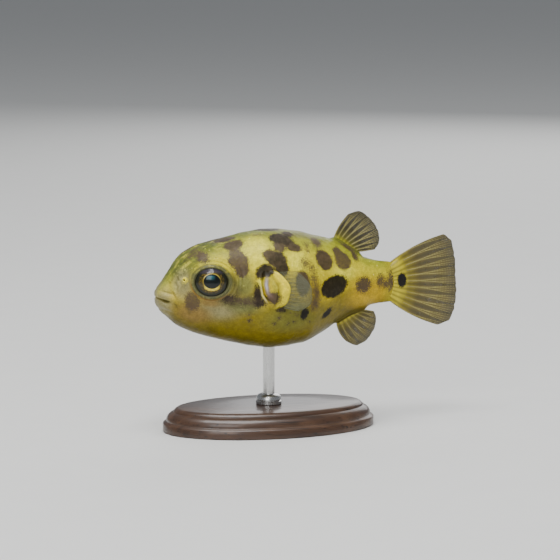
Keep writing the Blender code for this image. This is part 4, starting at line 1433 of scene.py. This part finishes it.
def closed_plate(sheet, fields, thickness):
    """Both faces of a thin plate and the rim between them."""
    normals = unit(np.cross(np.gradient(sheet, axis=0), np.gradient(sheet, axis=1)))
    push = normals * thickness[..., None] / 2
    columns, rows = sheet.shape[:2]
    points = np.concatenate([(sheet + push).reshape(-1, 3), (sheet - push).reshape(-1, 3)])
    index = np.arange(columns * rows).reshape(columns, rows)
    quads = np.stack([index[:-1, :-1], index[1:, :-1], index[1:, 1:], index[:-1, 1:]], axis=-1).reshape(-1, 4)
    rim = np.concatenate([index[:, 0], index[-1, 1:], index[-2::-1, -1], index[0, -2:0:-1]])
    other = columns * rows
    beyond = np.roll(rim, -1)
    walls = np.stack([rim, rim + other, beyond + other, beyond], axis=-1)
    faces = np.concatenate([quads, quads[:, ::-1] + other, walls]).tolist()
    return points, faces, {name: np.tile(np.asarray(v).reshape(-1), 2) for name, v in fields.items()}


def make_membrane_finish(name, root, middle, edge, opacity, striping=0.5, front=1.0):
    """Tinted film: fleshy colour at the root, then the fin's own tint, darker between the rays."""
    film = Recipe(name)
    reach, (thick, thin) = film.read("reach"), opacity
    blended = tuple(m + FLESH_SHARE * (r - m) for r, m in zip(root, middle))
    stops = ((0.02, root), (0.17, blended), (0.36, middle), (0.70, middle), (1.0, edge))
    colour = film.drift(film.ramp(reach, stops), 2.4 * PERCENT, 0.35)
    colour = mix(film.read("off_ray").rise(0.25, 0.9) * striping, colour, BETWEEN_RAYS)
    ink = film.read("ink") + (film.noise(0.6 * PERCENT, 4) * 0.8 - 0.4)
    alpha = (film.noise(2.0 * PERCENT, 4) - 0.5) * 0.25 + (reach.rise(0.05, 0.55) * (thin - thick) + thick)
    clearing = film.read("share").rise(0.0, 0.3) * (1.0 - front) + front
    inputs = {
        "Base Color": mix(ink.rise(-0.05, 0.25), colour, INK_BLACK),
        "Alpha": alpha * clearing,
        "Roughness": 0.45,
        "Specular IOR Level": 0.3,
    }
    return film.finish(inputs, (film.noise(0.35 * PERCENT, 3), 0.3, 0.03 * PERCENT))


MEMBRANES = {
    # colours at the root, middle and edge, opacity at root and edge, striping, and how much of
    # the film is left along the fin's first rays
    name: make_membrane_finish(name + " membrane", *look) for name, look in {
        "smoky": ((0.34, 0.32, 0.020), (0.065, 0.053, 0.020), (0.080, 0.070, 0.038), (0.97, 0.84)),
        "olive": ((0.60, 0.50, 0.025), (0.145, 0.110, 0.026), (0.11, 0.09, 0.040), (0.97, 0.82)),
        "clear": ((0.22, 0.23, 0.10), (0.15, 0.16, 0.095), (0.12, 0.13, 0.08), (0.52, 0.36), 0.0, 0.45),
    }.items()
}
FIN_TINTS = {"dorsal_fin": "smoky", "anal_fin": "olive", "tail_fin": "olive"}
membranes = {}
for name, (fin, lay_out, start) in FINS.items():
    sheet, fields = membrane_points(fin, lay_out, start)
    fleshy = np.clip(1 - fields["reach"] / FLESH_REACH, 0, 1) ** 2
    fleshy *= ends_fade(fields["share"], 0.08)
    thickness = MEMBRANE_THICKNESS + ROOT_THICKNESS.get(name, 0) * fleshy
    fields["ink"] = np.full(thickness.shape, -1.0)
    if name == "tail_fin":
        middle, width, length = TAIL_SPOT
        inside = 1 - np.hypot((fields["share"] - middle) / width, fields["reach"] / length)
        fields["ink"] = np.clip(inside, -1, 1)
    points, faces, fields = closed_plate(sheet, fields, thickness)
    finish = MEMBRANES[FIN_TINTS.get(name, "clear")]
    membranes[name] = add_piece(name + "_membrane", place(points), faces, finish, fields)
print("membranes:", len(membranes))

# %% [markdown]
# ## Fin rays
# A soft ray is a stem of short joints that forks once, and its forks fork again, which gives a fin
# its fine combing towards the edge. The stems could be drawn one by one. They repeat by a rule,
# so the script lays out thin guide lines, and one Geometry Nodes tree turns every line into a
# tapering tube with a slight swelling at each joint. The guides carry their own width.

# %% Ray guides
FIRST_FORK, SECOND_FORK = 0.12, 0.38
FORK_SPREAD, TWIG_SPREAD = 0.25, 0.125
FORK_OVERLAP, TWIG_END, RAY_TAPER = 0.03, 0.985, 0.68
GUIDE_STEPS = 14


def fork_offset(reach, branch, twig):
    """How far a twig has left its ray, as a share of the space between two rays."""
    first = branch * FORK_SPREAD * smooth_step(FIRST_FORK, 1.0, reach)
    return first + twig * TWIG_SPREAD * smooth_step(SECOND_FORK, 1.0, reach)


def ray_guides(fin, lay_out, start):
    """Stems, forks and twigs of every ray as lines, with a width for each point."""
    points, edges, widths = [], [], []
    pieces = [(start, FIRST_FORK + FORK_OVERLAP, 0, 0)]
    pieces += [(FIRST_FORK, SECOND_FORK + FORK_OVERLAP, branch, 0) for branch in (-1, 1)]
    pieces += [(SECOND_FORK, TWIG_END, branch, twig) for branch in (-1, 1) for twig in (-1, 1)]
    for ray in range(fin.rays):
        for low, high, branch, twig in pieces:
            if low >= high:
                continue
            reach = np.linspace(max(low, start), high, GUIDE_STEPS)
            share = np.clip((ray + fork_offset(reach, branch, twig)) / (fin.rays - 1), 0, 1)
            first = len(points)
            points.extend(lay_out(fin, share, reach))
            edges.extend((first + i, first + i + 1) for i in range(GUIDE_STEPS - 1))
            widths.extend(1.0 - RAY_TAPER * np.clip(reach, 0, 1) ** 0.8)
    return np.array(points), edges, np.array(widths)


print("guide lines of", GUIDE_STEPS, "points")

# %% Ray tree
RAY_SIDES = 6


def make_ray_tree():
    """Guide lines in, tubes out, as wide as each line's own "width" and swollen at every joint."""
    tree = bpy.data.node_groups.new("Jointed fin rays", "GeometryNodeTree")
    sockets = (
        ("Guides", "NodeSocketGeometry", None),
        ("Ray Width", "NodeSocketFloat", 0.0001),
        ("Joint Length", "NodeSocketFloat", 0.0002),
        ("Joint Swelling", "NodeSocketFloat", 0.15),
        ("Finish", "NodeSocketMaterial", None),
    )
    for label, kind, value in sockets:
        socket = tree.interface.new_socket(label, in_out="INPUT", socket_type=kind)
        if value is not None:
            socket.default_value = value
    tree.interface.new_socket("Rays", in_out="OUTPUT", socket_type="NodeSocketGeometry")
    into = tree.nodes.new("NodeGroupInput").outputs
    lines = add_node(tree, "GeometryNodeMeshToCurve", {"Mesh": into["Guides"]})
    joint = Value(into["Joint Length"])
    inputs = {"Curve": lines.outputs[0], "Length": joint / 4.0}
    fine = add_node(tree, "GeometryNodeResampleCurve", inputs, mode="LENGTH")
    width = add_node(tree, "GeometryNodeInputNamedAttribute", {"Name": "width"}, data_type="FLOAT")
    along = Value(add_node(tree, "GeometryNodeSplineParameter").outputs["Length"])
    swell = maths("COSINE", along / joint * math.tau) * into["Joint Swelling"] + 1.0
    radius = Value(width.outputs[0]) * swell * into["Ray Width"]
    profile = add_node(tree, "GeometryNodeCurvePrimitiveCircle", {"Resolution": RAY_SIDES, "Radius": 0.5})
    tubes = add_node(tree, "GeometryNodeCurveToMesh", {
        "Curve": fine.outputs[0], "Profile Curve": profile.outputs[0], "Scale": radius, "Fill Caps": True,
    })
    smooth = add_node(tree, "GeometryNodeSetShadeSmooth", {"Geometry": tubes.outputs[0]})
    real = add_node(tree, "GeometryNodeRealizeInstances", {"Geometry": smooth.outputs[0]})
    inputs = {"Geometry": real.outputs[0], "Material": into["Finish"]}
    painted = add_node(tree, "GeometryNodeSetMaterial", inputs)
    feed(tree.nodes.new("NodeGroupOutput").inputs["Rays"], painted.outputs[0])
    return tree


def socket_key(tree, label):
    """The identifier of a tree's input, which a modifier is set by."""
    return next(s.identifier for s in tree.interface.items_tree if s.name == label and s.in_out == "INPUT")


def grow(name, mesh, tree, values):
    """Runs a Geometry Nodes tree on a guide mesh and returns the result as a plain mesh object."""
    holder = put(name + "_guides", mesh)
    modifier = holder.modifiers.new(tree.name, "NODES")
    modifier.node_group = tree
    for label, value in values.items():
        modifier[socket_key(tree, label)] = value
    graph = bpy.context.evaluated_depsgraph_get()
    grown = bpy.data.meshes.new_from_object(holder.evaluated_get(graph))
    bpy.data.objects.remove(holder)
    grown.name = name
    return put(name, grown)


RAY_TREE = make_ray_tree()
print("ray tree:", len(RAY_TREE.nodes), "nodes")

# %% Ray finish and rays
RAY_WIDTHS = {"dorsal_fin": 0.00012, "anal_fin": 0.00011, "tail_fin": 0.00013}
PECTORAL_RAY_WIDTH = 0.00006
JOINT_LENGTH, JOINT_SWELLING = 0.00026, 0.16


def make_ray_finish(name, paint, opacity):
    horn = Recipe(name)
    colour = horn.drift(paint, 1.8 * PERCENT, 0.5)
    return horn.finish({"Base Color": colour, "Roughness": 0.38, "Alpha": opacity})


UPRIGHT_RAY = make_ray_finish("fin rays", (0.30, 0.255, 0.070), 1.0)
PECTORAL_RAY = make_ray_finish("pectoral rays", (0.16, 0.165, 0.09), 0.35)
rays = {}
for name, (fin, lay_out, start) in FINS.items():
    points, edges, widths = ray_guides(fin, lay_out, start)
    guides = bpy.data.meshes.new(name + "_guides")
    guides.from_pydata(place(points).tolist(), edges, [])
    store(guides, "width", widths)
    values = {
        "Ray Width": RAY_WIDTHS.get(name, PECTORAL_RAY_WIDTH),
        "Joint Length": JOINT_LENGTH,
        "Joint Swelling": JOINT_SWELLING,
        "Finish": UPRIGHT_RAY if name in RAY_WIDTHS else PECTORAL_RAY,
    }
    rays[name] = grow(name + "_rays", guides, RAY_TREE, values)
    print(name, "rays:", len(rays[name].data.polygons), "faces")

# %% [markdown]
# ## The stand
# A museum mount stays quiet: a small oval plinth of dark wood with a moulded edge, and a steel rod
# whose collar covers the hole. A moulding is a profile carried round an oval, so its height and
# inset are a short table, and the rings between them make the mesh.

# %% Plinth, rod and collar
BASE_LENGTH, BASE_WIDTH, BASE_HEIGHT = 0.0200, 0.0120, 0.0022
PLINTH_PROFILE = (
    # inset and level, in metres: foot band, step, hollow, bead and top
    (0.00008, 0.0), (0.0, 0.00008), (0.0, 0.00078), (0.00005, 0.00085), (0.00020, 0.00092),
    (0.00030, 0.00100), (0.00031, 0.00115), (0.00036, 0.00130), (0.00046, 0.00149), (0.00062, 0.00165),
    (0.00083, 0.00178), (0.00098, 0.00183), (0.00100, 0.00187), (0.00104, 0.00195), (0.00110, 0.00202),
    (0.00120, 0.00210), (0.00132, 0.00217), (0.00145, 0.00220),
)
OVAL_POINTS, ROD_POINTS, COLLAR_POINTS, ROD_BEVEL = 160, 64, 96, 0.0001
FLAT_CAP, SHARP_EDGE = (0.6, 0.25), math.radians(38)
WOOD_BANDS = ((0.3, (0.030, 0.014, 0.008)), (0.5, (0.060, 0.028, 0.014)), (0.72, (0.105, 0.052, 0.026)))
WOOD_PORES, STEEL_GREY = (0.014, 0.007, 0.004), (0.62, 0.62, 0.61)


def oval_rings(profile, half_length, half_width, points):
    """The rings of a moulding carried round an oval."""
    turn = math.tau * np.arange(points) / points
    rings = []
    for inset, level in profile:
        x, y = (half_length - inset) * np.cos(turn), (half_width - inset) * np.sin(turn)
        rings.append(np.stack([x, y, np.full(points, level)], axis=-1))
    return np.array(rings)


def turned_piece(name, profile, half_length, half_width, points, finish):
    """A closed solid of oval or round rings from its foot to its top."""
    rings = oval_rings(profile, half_length, half_width, points)[::-1]
    corners, faces, _ = close_rings(rings, {}, (FLAT_CAP, FLAT_CAP))
    made = add_piece(name, corners, faces, finish)
    made.data.set_sharp_from_angle(angle=SHARP_EDGE)
    return made


def make_wood():
    """Dark bands and fine pores, both drawn out along the grain, under a thin varnish."""
    wood = Recipe("dark wood")
    bands = wood.noise(0.0012, 5, 0.6, stretch=(0.12, 1.0, 1.0))
    pores = wood.noise(0.00022, 3, stretch=(0.05, 1.0, 1.0))
    inputs = {
        "Base Color": mix(pores.rise(0.56, 0.72), wood.ramp(bands, WOOD_BANDS), WOOD_PORES),
        "Roughness": pores * 0.25 + 0.26,
        "Coat Weight": 0.35,
        "Coat Roughness": 0.15,
    }
    return wood.finish(inputs, (pores, 0.15, 0.00003))


def make_steel():
    """Grey metal with fine brushed lines along the rod."""
    steel = Recipe("brushed steel")
    lines = steel.noise(0.00006, 2, stretch=(1.0, 1.0, 0.04))
    colour = steel.drift(STEEL_GREY, 0.0008, 0.08)
    inputs = {"Base Color": colour, "Metallic": 1.0, "Roughness": lines * 0.2 + 0.18}
    return steel.finish(inputs, (lines, 0.1, 0.00001))


WOOD, STEEL = make_wood(), make_steel()
rod_low, rod_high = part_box("stand_rod")
collar_low, collar_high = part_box("stand_collar")
rod_radius, collar_radius = (rod_high.x - rod_low.x) / 2, (collar_high.x - collar_low.x) / 2
plinth = turned_piece("plinth", PLINTH_PROFILE, BASE_LENGTH / 2, BASE_WIDTH / 2, OVAL_POINTS, WOOD)
rod_profile = (
    (ROD_BEVEL, rod_low.z), (0.0, rod_low.z + ROD_BEVEL),
    (0.0, rod_high.z - ROD_BEVEL), (ROD_BEVEL, rod_high.z),
)
rod = turned_piece("rod", rod_profile, rod_radius, rod_radius, ROD_POINTS, STEEL)
foot, crown = BASE_HEIGHT, collar_high.z
collar_profile = (
    (0.00006, foot), (0.0, foot + 0.00006), (0.0, foot + 0.00030), (0.00010, foot + 0.00036),
    (0.00010, foot + 0.00044), (0.00003, foot + 0.00050), (0.00006, foot + 0.00066),
    (0.00020, crown - 0.00014), (0.00042, crown - 0.00004), (0.00060, crown),
)
collar = turned_piece("collar", collar_profile, collar_radius, collar_radius, COLLAR_POINTS, STEEL)
print(f"plinth {BASE_LENGTH * 1000:.0f} x {BASE_WIDTH * 1000:.0f} x {BASE_HEIGHT * 1000:.1f} mm")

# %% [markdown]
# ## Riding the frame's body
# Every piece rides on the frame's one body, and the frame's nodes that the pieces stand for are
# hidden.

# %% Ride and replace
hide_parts("upper_jaw", "lower_jaw", "head", "trunk", "tail_stalk", "nostril_left", "nostril_right")
slots = {skin: "spotted_skin", plinth: "dark_wood", rod: "brushed_steel", collar: "brushed_steel"}
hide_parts("stand_base")
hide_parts("stand_rod")
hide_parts("stand_collar")
for side, eye in eyes.items():
    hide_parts("eye_" + side)
    slots[eye] = "eye"
for name in FINS:
    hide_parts(name)
    slots[membranes[name]] = slots[rays[name]] = "fin_membrane"
for piece, slot in slots.items():
    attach(piece, "root")

print("pieces:", len(slots))
